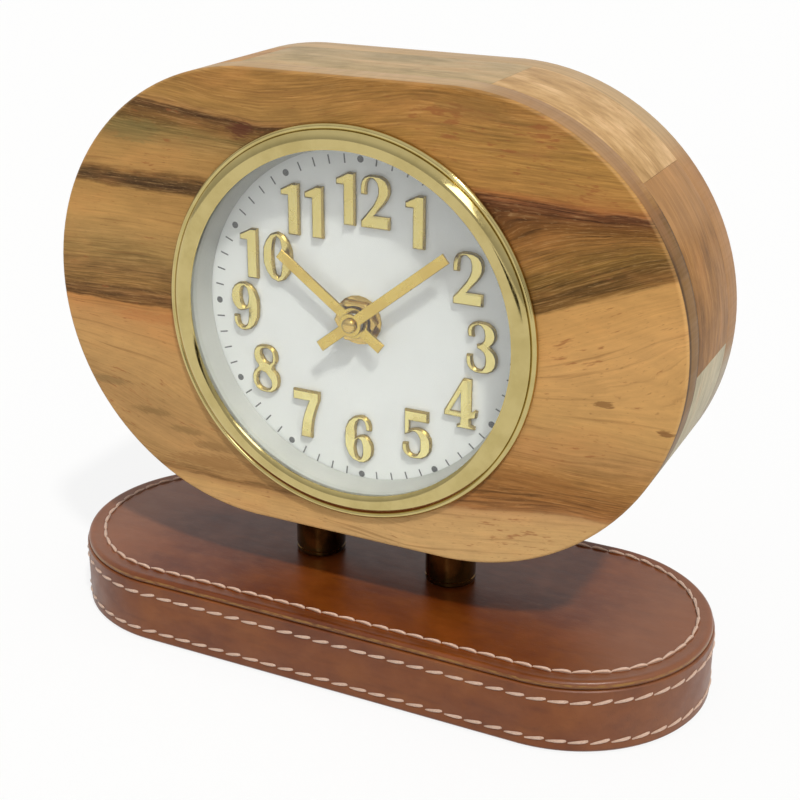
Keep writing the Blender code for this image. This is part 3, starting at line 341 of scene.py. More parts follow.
def cutPlate(name, look):
    # Gold plate on cut brass: a satin face, darker on the higher pieces as painted shade, and darker olive
    # sides
    material, add, place = startMaterial(name)
    wear = speckle(add, place, (6, 6, 6), 3.0, 0.6, 1.0)
    facing = add("SeparateXYZ", add("TexCoord", out="Normal"), out=None).outputs["Y"]
    front = add("MapRange", facing, -0.74, -0.95, **soft)
    # Painted shade: the face's gold goes from the low tint at the foot of the dial to the darker high tint at
    # its top
    up = add("MapRange", add("SeparateXYZ", place, out=None).outputs["Z"], 72 * mm, 138 * mm)
    face = stain(add, add("MixRGB", up, look["low"], look["high"]), look["tarnish"], wear, 0.35, 0.7, 0.5)
    gloss = add("MapRange", wear, 0.3, 0.7, *look["gloss"], **soft)
    return endMaterial(material, add, {"Base Color": add("MixRGB", front, look["side"], face),
                                       "Metallic": 1.0, "Roughness": gloss}, wear, 0.01)


def moulded(name, tint, shade, gloss, relief):
    # Moulded plastic or rubber: even colour with faint flow marks, and a fine spark-eroded texture
    material, add, place = startMaterial(name)
    flow = speckle(add, place, (18, 18, 18), 2.0, 0.5, 1.0)
    grit = speckle(add, place, (0.5, 0.5, 0.5), 2.0, 0.6, 6.0)
    rough = add("MapRange", grit, 0.3, 0.7, *gloss, **soft)
    return endMaterial(material, add, {"Base Color": stain(add, tint, shade, flow, 0.3, 0.7), "IOR": 1.5,
                                       "Roughness": rough}, grit, relief)


def paintedMetal(name, tint, shade, gloss=(0.32, 0.45)):
    # Sprayed satin paint: nearly even, with a faint cloud and orange peel
    material, add, place = startMaterial(name)
    cloud = speckle(add, place, (30, 30, 30), 3.0, 0.5, 1.0)
    peel = speckle(add, place, (0.9, 0.9, 0.9), 1.0, 0.5, 3.0)
    rough = add("MapRange", peel, 0.3, 0.7, *gloss, **soft)
    return endMaterial(material, add, {"Base Color": stain(add, tint, shade, cloud, 0.3, 0.7), "IOR": 1.5,
                                       "Roughness": rough}, peel, 0.004)


def clearGlass(name):
    # Float glass, polished: clear with a trace of green. Lamps shine through it instead of being blocked.
    material, add, place = startMaterial(name)
    ripple = speckle(add, place, (40, 40, 40), 1.0, 0.4, 1.0)
    gloss = add("MapRange", ripple, 0.3, 0.7, 0.0, 0.015, **soft)
    glass = add("BsdfPrincipled", named={"Base Color": "#ffffff", "Roughness": gloss, "IOR": 1.5,
                                         "Transmission Weight": 1.0})
    clear = add("BsdfTransparent", "#f8f9f8")
    add("OutputMaterial", add("MixShader", add("LightPath", out="Is Shadow Ray"), glass, clear))
    return material


def woolFelt(name):
    # Pressed wool felt: matt, mottled, with short tangled fibres
    material, add, place = startMaterial(name)
    tangle = speckle(add, place, (0.8, 0.8, 0.8), 5.0, 0.7, 1.0)
    cloud = speckle(add, place, (9, 9, 9), 3.0, 0.6, 2.0)
    colour = stain(add, stain(add, "#17140f", "#3a332b", tangle, 0.3, 0.7), "#4a4238", cloud, 0.4, 0.7, 0.4)
    return endMaterial(material, add, {"Base Color": colour, "Roughness": 0.95, "IOR": 1.45,
                                       "Sheen Weight": 0.4}, tangle, 0.2)


def cellSleeve(name):
    # A dry cell: a plain printed sleeve of dark blue and grey, and bright nickel-plated ends
    material, add, place = startMaterial(name)
    low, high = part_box("battery")
    half = (high.x - low.x) / 2
    scuff = speckle(add, place, (3, 3, 3), 3.0, 0.6, 1.0)
    across = add("Math", add("SeparateXYZ", place, out=None).outputs["X"], (low.x + high.x) / 2, **minus)
    end = add("MapRange", add("Math", across, operation="ABSOLUTE"), half - 2.4 * mm, half - 2.2 * mm)
    sleeve = add("MixRGB", add("MapRange", across, 8 * mm, 8.2 * mm), "#33475c", "#9aa4ac")
    sleeve = stain(add, sleeve, "#55626e", scuff, 0.5, 0.8, 0.25)
    gloss = add("MapRange", scuff, 0.3, 0.7, 0.25, 0.38, **soft)
    return endMaterial(material, add, {"Base Color": add("MixRGB", end, sleeve, "#c9c8c2"), "Metallic": end,
                                       "IOR": 1.5, "Roughness": gloss}, scuff, 0.01)


# Modelling helpers, all in metres and in the frame's own place

def arc(middle, radius, start, stop, count):
    # Points of a profile along an arc, in degrees from outwards (0) towards the axis' own direction (90)
    steps = [math.radians(start + (stop - start) * i / count) for i in range(count + 1)]
    return [(middle[0] + radius * math.cos(a), middle[1] + radius * math.sin(a)) for a in steps]


def selectOnly(piece):
    if bpy.context.mode != "OBJECT":
        bpy.ops.object.mode_set(mode="OBJECT")
    bpy.ops.object.select_all(action="DESELECT")
    piece.select_set(True)
    bpy.context.view_layer.objects.active = piece


def applyPlace(piece):
    # Moves a piece's place, turn and scale into its mesh
    selectOnly(piece)
    bpy.ops.object.transform_apply(location=True, rotation=True, scale=True)


def finishPiece(piece, material, body, slotName, *replaced):
    # Ends a piece: place applied, shading set, material given, put under its body, replaced nodes hidden
    applyPlace(piece)
    bpy.ops.object.shade_smooth_by_angle(angle=math.radians(smoothAngle))
    piece.data.materials.clear()
    piece.data.materials.append(material)
    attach(piece, body)
    if replaced:
        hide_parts(*replaced)


def pick(piece, kind, wanted):
    # In edit mode, selects the verts or edges of the piece that pass the test, and nothing else
    shape = bmesh.from_edit_mesh(piece.data)
    bpy.ops.mesh.select_mode(type={"verts": "VERT", "edges": "EDGE"}[kind])
    bpy.ops.mesh.select_all(action="DESELECT")
    for part in getattr(shape, kind):
        part.select = bool(wanted(part))
    shape.select_flush_mode()
    bmesh.update_edit_mesh(piece.data)


def pointPiece(name, spot):
    # A plane merged to one point, ready to be extruded. It is left in edit mode.
    bpy.ops.object.select_all(action="DESELECT")
    bpy.ops.mesh.primitive_plane_add(size=mm, location=spot)
    piece = bpy.context.object
    piece.name = piece.data.name = name
    bpy.ops.object.mode_set(mode="EDIT")
    bpy.ops.mesh.select_mode(type="VERT")
    bpy.ops.mesh.select_all(action="SELECT")
    bpy.ops.mesh.merge(type="CENTER")
    return piece


def turnedPiece(name, profile, middle, axis, steps, reach=0.0, within=0.0):
    # Extrudes a point along the profile (from the axis, along the axis), spins it, and for a stadium moves
    # the two halves apart by the reach, leaving what is within a radius of the axis where it is
    spots = [middle + Vector((r, 0, 0)) + axis * s for r, s in profile]
    piece = pointPiece(name, spots[0])
    for here, there in zip(spots, spots[1:]):
        bpy.ops.mesh.extrude_region_move(TRANSFORM_OT_translate={"value": there - here})
    bpy.ops.mesh.select_all(action="SELECT")
    bpy.ops.mesh.spin(steps=steps, angle=math.tau, center=middle, axis=axis)
    bpy.ops.mesh.select_all(action="SELECT")
    bpy.ops.mesh.remove_doubles(threshold=weld)
    if reach:
        moveHalves(piece, middle, axis, reach, within)
    bpy.ops.mesh.select_all(action="SELECT")
    bpy.ops.mesh.fill_holes(sides=0)
    bpy.ops.mesh.select_all(action="SELECT")
    bpy.ops.mesh.normals_make_consistent(inside=False)
    return piece


def moveHalves(piece, middle, axis, reach, within):
    for side in (1, -1):
        def outside(vert):
            spot = piece.matrix_world @ vert.co - middle
            return spot.x * side > 0 and (spot - axis * spot.dot(axis)).length > within
        pick(piece, "verts", outside)
        bpy.ops.transform.translate(value=(side * reach, 0, 0))


def cutAway(spot, normal):
    # Cuts the piece in edit mode with a plane, closes the cut, and removes what lies on the normal's side
    bpy.ops.mesh.select_all(action="SELECT")
    bpy.ops.mesh.bisect(plane_co=spot, plane_no=normal, use_fill=True, clear_outer=True)


def copyOf(source, name):
    # A separate piece with its own mesh
    twin = source.copy()
    twin.data = source.data.copy()
    twin.name = twin.data.name = name
    for key in [k for k in twin.keys() if k.startswith("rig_")]:
        del twin[key]
    twin.parent = None
    bpy.context.scene.collection.objects.link(twin)
    twin.hide_render = twin.hide_viewport = False
    return twin


def joinPieces(name, parts):
    selectOnly(parts[0])
    for part in parts:
        part.select_set(True)
    bpy.ops.object.join()
    parts[0].name = parts[0].data.name = name
    return parts[0]


# The case: front board, ring of seven glued blocks, back board

case = {
    "steps": 130,              # round the outside: no multiple of four, so no point is on the middle line
    "arris": 0.8 * mm,         # sanded edge of the front and back faces
    "softEdge": 0.15 * mm,     # edges at the glue lines
    "glueGap": 0.03 * mm,
    "frontBore": 51.6 * mm, "backBore": 43.0 * mm, "ringBore": 46.5 * mm,
    "rightSeams": (83.5, 42.6, -3.0),      # where glue lines show, in degrees round the right end's middle
    "leftSeams": (180.0, 96.5),            # round the left end's middle
    "bottomSeam": 36.4 * mm,               # on both sides of the middle, under the case
}
caseTones = {
    "pale": "#d9b27a", "warm": "#c4854c", "poreTint": "#7d5330", "fleckTint": "#93552f",
    "veinTint": "#8a5f35", "oil": "#fffdf2", "quartered": True, "sway": 4.0,
    "patch": ((22, 26, 8), 3.0, 0.55, 12.0),
    "cloud": 0.06, "glow": 0.22, "fibre": 0.04, "deep": 0.12, "veins": 0.25, "hairs": 0.22, "dashes": 0.14,
    "pores": 0.38, "arris": 0.15,
}
everywhere = -150     # a wall patch starts at this X or to the right of it, so this one has no start
frontLook = {
    **caseTones, "shift": (0.013, 0.0, 0.041), "lean": 1.0, "sway": 3.4, "jitter": 1.8, "quartered": False,
    "fibre": 0.048, "deep": 0.34, "veins": 0.45,
    "meet": 12, "fibreMeet": 30,      # half the width over which the two ends' streaks and fibres blend
    # Where the slopes start along the board, how far they run both ways, then (height, slope)
    "leftSlopes": (-65, 40, ((-55, -0.03), (-46, -0.34), (-33, -0.42), (-22, -0.16), (-5, 0.0), (34, -0.02),
                             (52, -0.115))),
    "rightSlopes": (56, 38, ((-48, 0.14), (-36, 0.0), (-20, -0.02), (10, 0.42), (26, 0.42), (38, -0.06))),
    # Patches of the outer wall: where each rises and falls by height, its depths, tint, strength, start
    # The grey patch low on the right end and the pale patch along the whole top are painted sheen
    "wall": (((-46, -18), (34, 48), 0.7, 20, "#73501f", 0.85, 50),
             ((-40, -10), (30, 44), 0.4, 1.5, "#432a0c", 0.85, 50),
             ((-30, -10), (34, 46), 8.2, 20, "#432a10", 0.6, 50),
             ((24, 36), (44, 54), 0.8, 5, "#8f663e", 0.8, 50),
             ((-60, -40), (-34, -12), 2.0, 20, "#9b9078", 0.6, 50),
             ((42, 54), (80, 90), 0.6, 20, "#c4a880", 0.7, everywhere),
             ((38, 48), (80, 90), 0.6, 20, "#99714a", 0.75, 38)),
    # Streaks from the bottom to the top of the board: height from its middle, tone
    "left": ((-65, "#cba473"), (-57, "#c99e68"), (-55.4, "#b98d5c"), (-54.6, "#88633c"), (-52, "#ab8455"),
             (-46, "#b9905f"), (-38, "#b08859"), (-30, "#b9915f"), (-20, "#c39762"),
             (-9, "#c08d59"), (-6.1, "#b8814c"), (-5.4, "#6d4c29"), (-3, "#755331"), (0, "#8a673b"),
             (4, "#906d42"), (9, "#9a7a4a"), (14, "#ab8653"), (20, "#bd9259"), (28.4, "#b0864f"),
             (29.2, "#6b4d2a"), (30.6, "#553c24"), (32.2, "#5e4528"), (33.4, "#8a6439"), (34.8, "#b28852"),
             (40, "#b18851"), (43.5, "#a27f4d"), (46.5, "#826b3f"), (50, "#7d5c33"), (54, "#553820"),
             (55.0, "#9a7144"), (57, "#a98049"), (63, "#a27742")),
    "right": ((-65, "#cfaa78"), (-50, "#cba26f"), (-46.0, "#c79b6b"), (-44.8, "#9c6b41"), (-42, "#8e5f33"),
              (-38, "#9a6a3a"), (-33, "#a67845"), (-27, "#b28655"), (-18, "#c59961"), (-6, "#cf9f66"),
              (4, "#cb9a5f"), (9.6, "#c8985d"), (10.6, "#7d5a2f"), (14, "#6b4c26"), (20, "#82602f"),
              (26, "#8c6333"), (32, "#7d5328"), (36, "#653d21"), (38.0, "#70452a"), (39.2, "#a2693b"),
              (40.6, "#ae7f45"), (50, "#a67b41"), (58, "#9e733e"), (65, "#9a6c36")),
    # Ovals: X and Z from the case's middle, half width, half height, and for a knot its tint and strength
    "fleckZones": ((42, 51, 8, 10), (31, 55, 9, 6), (54, 56, 8, 5), (55, 49, 8, 4), (66, 42, 14, 5),
                   (64, 1, 13, 5), (50, -52, 16, 6), (-72, -33, 22, 9), (30, 60, 9, 4)),
    "knots": ((-31, 48.2, 5.4, 3.4, "#5a2f20", 0.75), (73, -11, 3.6, 1.2, "#744b25", 0.65),
              (89.5, -16, 3.0, 1.3, "#6f4423", 0.7), (64, 39.6, 24, 3.0, "#94562c", 0.25),
              (36, 60, 12, 4.0, "#8a6534", 0.5), (-66, 45, 13, 4.5, "#7b6f42", 0.45),
              (-80, -31, 11, 1.7, "#7d6640", 0.5), (-65, -38.5, 9, 1.7, "#7a6038", 0.5),
              (-54, -42.5, 8, 1.5, "#7a6038", 0.45), (-44, -46, 10, 1.6, "#7d5d36", 0.45),
              (-42, -51, 24, 3.4, "#82592f", 0.45), (-60, -9, 22, 2.6, "#b6713f", 0.4),
              (57, -36, 20, 4.0, "#91602f", 0.45), (74, 51, 8, 1.8, "#9b6a3a", 0.5)),
}
backLook = {
    **caseTones, "tones": ("#80592f", "#a3763f", "#b4864e", "#bd925a"), "lean": 1.0, "shift": (0.2, 0.1, 0.3),
    "quartered": False, "fibre": 0.08, "veins": 0.6, "patch": ((120, 40, 5), 3.0, 0.55, 12.0),
    # The grey patch low on the right end and the pale patch along the top are painted sheen
    "wall": (((-90, -80), (80, 90), 0.6, 60, "#a87d54", 0.85, everywhere),
             ((-60, -40), (-14, -2), 0.6, 60, "#b9ae98", 0.85, 50),
             ((40, 52), (80, 90), 0.6, 60, "#bda27b", 0.8, everywhere)),
}
blockLooks = (
    {"tones": ("#9c774a", "#bf9a6c", "#e0c098"), "lean": 136, "shift": (0.10, 0.02, 0.05)},
    {"tones": ("#76502b", "#946838", "#a57845"), "lean": 106, "shift": (0.31, 0.12, 0.22),
     "wall": (((26, 34), (50, 60), 9, 40, "#b88c5e", 0.5, 50),)},
    # Block 3, low on the right end: its pale grey tones are painted sheen
    {"tones": ("#b0a68f", "#c1b79f", "#cdc3ac"), "lean": 62, "shift": (0.47, 0.20, 0.11)},
    {"tones": ("#a5784a", "#b98b56", "#c99e66"), "lean": 0, "shift": (0.52, 0.32, 0.41)},
    {"tones": ("#8a6238", "#a87d4c", "#bd9160"), "lean": 119, "shift": (0.66, 0.42, 0.33)},
    {"tones": ("#9c744a", "#b98b5a", "#caa06c"), "lean": 58, "shift": (0.75, 0.08, 0.61)},
    # Block 7, along the top: its pale grey tones are painted light and sheen from above
    {"tones": ("#9b8864", "#af9875", "#c0a987"), "lean": 1, "shift": (0.83, 0.27, 0.19)},
)
coreLook = {"tones": ("#a5845a", "#b99a6d", "#c8ac80"), "lean": 0, "shift": (0.9, 0.5, 0.7)}


def seamDirections():
    # Each glue line runs straight out from the dial's axis to its place outside, clockwise from the top
    def roundEnd(side, angles):
        turns = [math.radians(angle) for angle in angles]
        return [(side * caseReach + caseEnd * math.cos(t), caseEnd * math.sin(t)) for t in turns]
    bottom = [(side * case["bottomSeam"], -caseEnd) for side in (1, -1)]
    spots = roundEnd(1, case["rightSeams"]) + bottom + roundEnd(-1, case["leftSeams"])
    drop = caseMiddle.z - dialMiddle.z
    return [math.degrees(math.atan2(z + drop, x)) for x, z in spots]


def boardProfile(bore, front, back, frontEdge, backEdge):
    # A closed profile round a board's bore and outside. Along the axis, the front is the higher number.
    small = case["softEdge"]
    return (arc((caseEnd - frontEdge, front - frontEdge), frontEdge, 90, 0, 4)
            + arc((caseEnd - backEdge, back + backEdge), backEdge, 0, -90, 4)
            + [(caseEnd - backEdge - small, back), (bore + 1.8 * small, back), (bore + small, back)]
            + [(bore, back + small), (bore, front - small)]
            + [(bore + small, front), (bore + 1.8 * small, front)]
            + [(caseEnd - frontEdge - small, front), (caseEnd - frontEdge, front)])


def buildBoard(name, bore, front, back, frontEdge, backEdge):
    # The bore is a circle on the dial's axis, so its points are made round the case's middle and then lowered
    boreEnd = bore + 2 * case["softEdge"]
    profile = boardProfile(bore, front, back, frontEdge, backEdge)
    piece = turnedPiece(name, profile, caseMiddle, frontAxis, case["steps"], caseReach, boreEnd)

    def inBore(vert):
        spot = piece.matrix_world @ vert.co - caseMiddle
        return math.hypot(spot.x, spot.z) < boreEnd
    pick(piece, "verts", inBore)
    bpy.ops.transform.translate(value=(0, 0, dialMiddle.z - caseMiddle.z))
    return piece


def buildCase():
    arris, small, gap = case["arris"], case["softEdge"], case["glueGap"]
    frontBack, backFront = -boardHigh.y, -backLow.y
    front = buildBoard("caseFrontBoard", case["frontBore"], -frontFace, frontBack, arris, small)
    finishPiece(front, acacia("oiledAcaciaFront", frontLook), "clock", "wood_front", "case_front_board")
    back = buildBoard("caseBackBoard", case["backBore"], backFront, -backHigh.y, small, arris)
    finishPiece(back, acacia("oiledAcaciaBack", backLook), "clock", "wood_back", "case_back_board")

    whole = buildBoard("caseRing", case["ringBore"], frontBack - gap, backFront + gap, small, small)
    applyPlace(whole)
    seams = seamDirections()
    for index, last in enumerate(seams):
        first = seams[(index + 1) % len(seams)]
        block = copyOf(whole, f"caseBlock{index + 1}")
        selectOnly(block)
        bpy.ops.object.mode_set(mode="EDIT")
        for angle, side in ((first, 1), (last, -1)):
            # The plane's normal points out of the block
            turn = math.radians(angle)
            along = Vector((math.cos(turn), 0, math.sin(turn)))
            out = Vector((math.sin(turn), 0, -math.cos(turn))) * side
            cutAway(dialMiddle + along * caseEnd - out * gap, out)
        material = acacia(f"oiledAcaciaBlock{index + 1}", {**caseTones, **blockLooks[index]})
        finishPiece(block, material, "clock", "wood_blocks", f"case_block_{index + 1}")
    bpy.data.objects.remove(whole)


buildCase()
print("case done")


# The base: side band, top sheet with its rolled edge, felt

base = {
    "steps": 130,
    "core": 20 * mm,            # the flat faces start this far from the middle line
    "sheetThick": 2.24 * mm,    # the top sheet, and its edge rolled over the side band
    "sheetSink": 0.22 * mm,     # the sheet's field lies this much below the crest of its edge
    "roll": 1.15 * mm, "tuck": 0.35 * mm, "tuckHigh": 0.45 * mm,   # its rolled edge
    "shoulder": (1.9 * mm, 0.08 * mm), "fieldStart": 2.7 * mm, "rowSide": 1.5 * mm,
    "bandThick": 1.35 * mm,     # the side band, and its softened edges: (inwards, from the edge)
    "bandFoot": ((0.4 * mm, 0), (0, 0.5 * mm)),
    "bandHead": ((0, 0.35 * mm), (0.25 * mm, 0.05 * mm), (0.6 * mm, 0)),
    "seamDip": 0.12 * mm, "topDip": 0.9 * mm, "sideDip": 1.0 * mm,   # the stitches pull the leather in
    "topRow": 5.1 * mm,         # inwards from the outside
    "highRow": 3.6 * mm, "lowRow": 3.1 * mm,    # from the side band's upper and lower edge
    "feltEdge": 0.3 * mm,
}
topLeather = {
    "tones": ((0.3, "#572506"), (0.42, "#632c06"), (0.55, "#6d3409"), (0.7, "#7b3d12")),
    "light": "#8a4d1c", "dark": "#8a5c40", "gloss": (0.36, 0.28), "poreSize": 0.75,
    # The ends tint is painted sheen towards both ends of the top
    "rings": (((36.4, 37.2), (38.2, 38.8), "#6b3a18", 0.5),), "ends": (56, 88, "#8f5f42", 0.5),
    "levels": (((19.0, 19.2), (20.2, 20.5), "#6e3f20", 0.9), ((20.2, 20.4), (21.0, 21.2), "#93692f", 0.9),
               ((20.0, 20.15), (20.25, 20.4), "#3a2412", 0.6)),
}
sideLeather = {
    "tones": ((0.3, "#622f0f"), (0.42, "#6d3713"), (0.55, "#773f15"), (0.7, "#82491b")),
    "light": "#864f29", "dark": "#85604c", "gloss": (0.46, 0.36), "poreSize": 0.75,
    # The ends tint is painted sheen towards both ends of the band
    "rings": (), "levels": (((-1, 0), (1.0, 1.9), "#5a3522", 0.6),), "ends": (66, 96, "#8d644c", 0.25),
}


def dip(middle, half, count=6):
    # A soft groove of a profile: (how far along, how far in)
    spots = [half * (2 * i / count - 1) for i in range(count + 1)]
    return [(middle + s, base["seamDip"] * (1 + math.cos(math.pi * s / half)) / 2) for s in spots]


def buildBase():
    top, foot, head = sheetHigh.z, bandLow.z, bandHigh.z
    edge = bandEnd - (bandHigh.x - sheetHigh.x)
    core, roll, tuck = base["core"], base["roll"], base["tuck"]
    field = top - base["sheetSink"]
    under = top - base["sheetThick"]
    row = bandEnd - base["topRow"]
    profile = [(core, under), (edge - 2 * tuck, under)]
    profile += arc((edge - tuck, under + base["tuckHigh"]), tuck, -70, 0, 3)
    profile += arc((edge - roll, top - roll), roll, 0, 90, 8)
    profile += [(edge - base["shoulder"][0], top - base["shoulder"][1]), (edge - base["fieldStart"], field)]
    profile += [(row + s, field - d) for s, d in reversed(dip(0, base["topDip"]))]
    profile += [(row - base["rowSide"], field), (core, field)]
    sheet = turnedPiece("baseTopSheet", profile, origin, upAxis, base["steps"], baseReach)
    finishPiece(sheet, burnishedLeather("burnishedLeatherTop", topLeather), "clock", "leather_top",
                "base_top_leather")

    inner = bandEnd - base["bandThick"]
    spots = [(foot + up, inwards) for inwards, up in base["bandFoot"]]
    spots += dip(foot + base["lowRow"], base["sideDip"]) + [(head / 2, 0)]
    spots += dip(head - base["highRow"], base["sideDip"])
    spots += [(head - down, inwards) for inwards, down in base["bandHead"]]
    outside = [(bandEnd - inwards, z) for z, inwards in spots]
    profile = [(inner, foot), *outside, (inner, head), (inner, foot)]
    band = turnedPiece("baseSideBand", profile, origin, upAxis, base["steps"], baseReach)
    finishPiece(band, burnishedLeather("burnishedLeatherSide", sideLeather), "clock", "leather_side",
                "base_side_leather")

    low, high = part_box("base_felt_pad")
    end, soften = (high.y - low.y) / 2, base["feltEdge"]
    profile = [(core, low.z), (end - soften, low.z), (end, low.z + soften), (end, high.z), (core, high.z)]
    felt = turnedPiece("baseFelt", profile, origin, upAxis, base["steps"], baseReach)
    finishPiece(felt, woolFelt("pressedFelt"), "clock", "felt", "base_felt_pad")


buildBase()
print("base done")


# The posts, antique bronze, with a turned groove above the foot

post = {
    "steps": 96, "bore": 2.9 * mm, "footFlat": 0.5 * mm, "footRound": 0.35 * mm, "headRound": 0.6 * mm,
    "groove": (1.3 * mm, 1.5 * mm, 1.75 * mm, 1.95 * mm), "grooveDeep": 0.25 * mm,
    "bronze": {"tint": "#6f522a", "tarnish": "#1f140a", "worn": 0.85, "grit": (3, 3, 0.5),
               "gloss": (0.07, 0.13), "relief": 0.0005},
}


def buildPosts():
    bronze = metal("antiqueBronze", **post["bronze"])
    bore, foot, head, deep = post["bore"], post["footRound"], post["headRound"], post["grooveDeep"]
    for side in ("left", "right"):
        low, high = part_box("support_post_" + side)
        radius = (high.x - low.x) / 2
        profile = [(bore, low.z), (radius - post["footFlat"], low.z)]
        profile += arc((radius - foot, low.z + foot), foot, -90, 0, 5)
        profile += [(radius - inwards, low.z + z) for inwards, z in zip((0, deep, deep, 0), post["groove"])]
        profile += arc((radius - head, high.z - head), head, 0, 90, 6)
        profile += [(bore, high.z), (bore, low.z)]
        middle = Vector(((low.x + high.x) / 2, 0, 0))
        piece = turnedPiece("supportPost" + side.title(), profile, middle, upAxis, post["steps"])
        finishPiece(piece, bronze, "clock", "bronze", "support_post_" + side)


buildPosts()
print("posts done")


# Stitches: each is a short arched length of two-ply thread, and a row of them is one piece

stitch = {
    "thick": 0.48 * mm,        # half the thread's thickness where it is full
    "sides": 8,
    "shape": ((0.0, 0.3, -0.7), (0.08, 0.6, -0.1), (0.3, 0.85, 0.2), (0.55, 1.05, 0.4), (0.8, 1.15, 0.25),
              (0.94, 0.9, -0.1), (1.0, 0.4, -0.7)),    # share of the length, of the thickness, and rise
    "topLength": 5.5 * mm, "topPitch": 5.3 * mm, "topShift": 0.9 * mm,   # its row lies a little to the back
    "sideLength": 6.1 * mm, "sidePitch": 5.85 * mm,
    "sink": 0.1 * mm, "sideSink": 0.3 * mm,
    "topLean": -2.0, "sideLean": 9.0, "wander": 2.5,    # degrees off the row's line, and how they vary
    # The thread's hole tint is painted shade at the needle holes
    "thread": {"plies": 2.0, "twists": 5.0, "tint": "#e6c6b0", "shade": "#b08468", "hole": "#5d3a26"},
}


def modelStitch(length):
    # Along +X, its rise along +Z, its middle at the origin
    thick = stitch["thick"]
    first = stitch["shape"][0]
    bpy.ops.object.select_all(action="DESELECT")
    bpy.ops.mesh.primitive_circle_add(vertices=stitch["sides"], radius=thick, fill_type="NGON",
                                      location=(-length / 2, 0, thick * first[2]),
                                      rotation=(0, math.pi / 2, 0))
    piece = bpy.context.object
    bpy.ops.object.mode_set(mode="EDIT")
    bpy.ops.mesh.select_all(action="SELECT")
    bpy.ops.transform.resize(value=(1, first[1], first[1]))
    for here, there in zip(stitch["shape"], stitch["shape"][1:]):
        step = ((there[0] - here[0]) * length, 0, (there[2] - here[2]) * thick)
        bpy.ops.mesh.extrude_region_move(TRANSFORM_OT_translate={"value": step})
        size = there[1] / here[1]
        bpy.ops.transform.resize(value=(1, size, size))
    bpy.ops.mesh.select_all(action="SELECT")
    bpy.ops.mesh.normals_make_consistent(inside=False)
    applyPlace(piece)
    # Its own map: round the thread and along it, for the twist
    verts, uv = piece.data.vertices, piece.data.uv_layers.new(name="thread")
    for face in piece.data.polygons:
        turns = [math.atan2(verts[v].co.y, verts[v].co.z) / math.tau for v in face.vertices]
        for loop, vert, turn in zip(face.loop_indices, face.vertices, turns):
            turn += 1 if turn < max(turns) - 0.5 else 0
            uv.data[loop].uv = (turn, verts[vert].co.x / length + 0.5)
    return piece


def stadiumSpot(travel, radius, reach):
    # A point of a stadium and the direction there, a distance along it from the middle of its front side
    straight, bend = 2 * reach, math.pi * radius
    travel = (travel + reach) % (2 * straight + 2 * bend)
    if travel < straight:
        return Vector((travel - reach, -radius, 0)), 0.0
    if travel < straight + bend:
        turn = (travel - straight) / radius
        return Vector((reach + radius * math.sin(turn), -radius * math.cos(turn), 0)), turn
    if travel < 2 * straight + bend:
        return Vector((reach - (travel - straight - bend), radius, 0)), math.pi
    turn = (travel - 2 * straight - bend) / radius + math.pi
    return Vector((-reach + radius * math.sin(turn), -radius * math.cos(turn), 0)), turn


def sewRow(name, slot, model, radius, pitch, height, stand, lean, shift=0.0):
    # A row of stitches round the base. Stand turns their rise from up (0) to outwards (90 degrees).
    around = 4 * baseReach + math.tau * radius
    count = round(around / pitch)
    copies = []
    for index in range(count):
        # A small steady irregularity, as hand sewing has
        odd = math.sin(index * 2.4) + math.sin(index * 1.37 + 1.0)
        spot, turn = stadiumSpot(index * around / count, radius, baseReach)
        spot += Vector((0, shift, height))
        frameTurn = Matrix.Rotation(turn, 4, "Z") @ Matrix.Rotation(math.radians(stand), 4, "X")
        tilt = Matrix.Rotation(math.radians(lean + odd * stitch["wander"]), 4, "Z")
        one = copyOf(model, "stitch")
        one.matrix_world = Matrix.Translation(spot) @ frameTurn @ tilt
        copies.append(one)
    finishPiece(joinPieces(name, copies), threads, "clock", slot)


def sewBase():
    top, side = modelStitch(stitch["topLength"]), modelStitch(stitch["sideLength"])
    crown = stitch["thick"] * 0.35 - stitch["sink"]
    sewRow("stitchesTop", "leather_top", top, bandEnd - base["topRow"], stitch["topPitch"],
           sheetHigh.z - base["sheetSink"] + crown, 0, stitch["topLean"], stitch["topShift"])
    for name, height in (("Upper", bandHigh.z - base["highRow"]), ("Lower", bandLow.z + base["lowRow"])):
        sewRow("stitchesSide" + name, "leather_side", side, bandEnd - stitch["sideSink"], stitch["sidePitch"],
               height, 90, stitch["sideLean"])
    bpy.data.objects.remove(top)
    bpy.data.objects.remove(side)


threads = waxedThread("waxedLinenThread", stitch["thread"])
sewBase()
print("stitches done")


# The dial, its printed marks, the white rim, the glass and the brass bezel

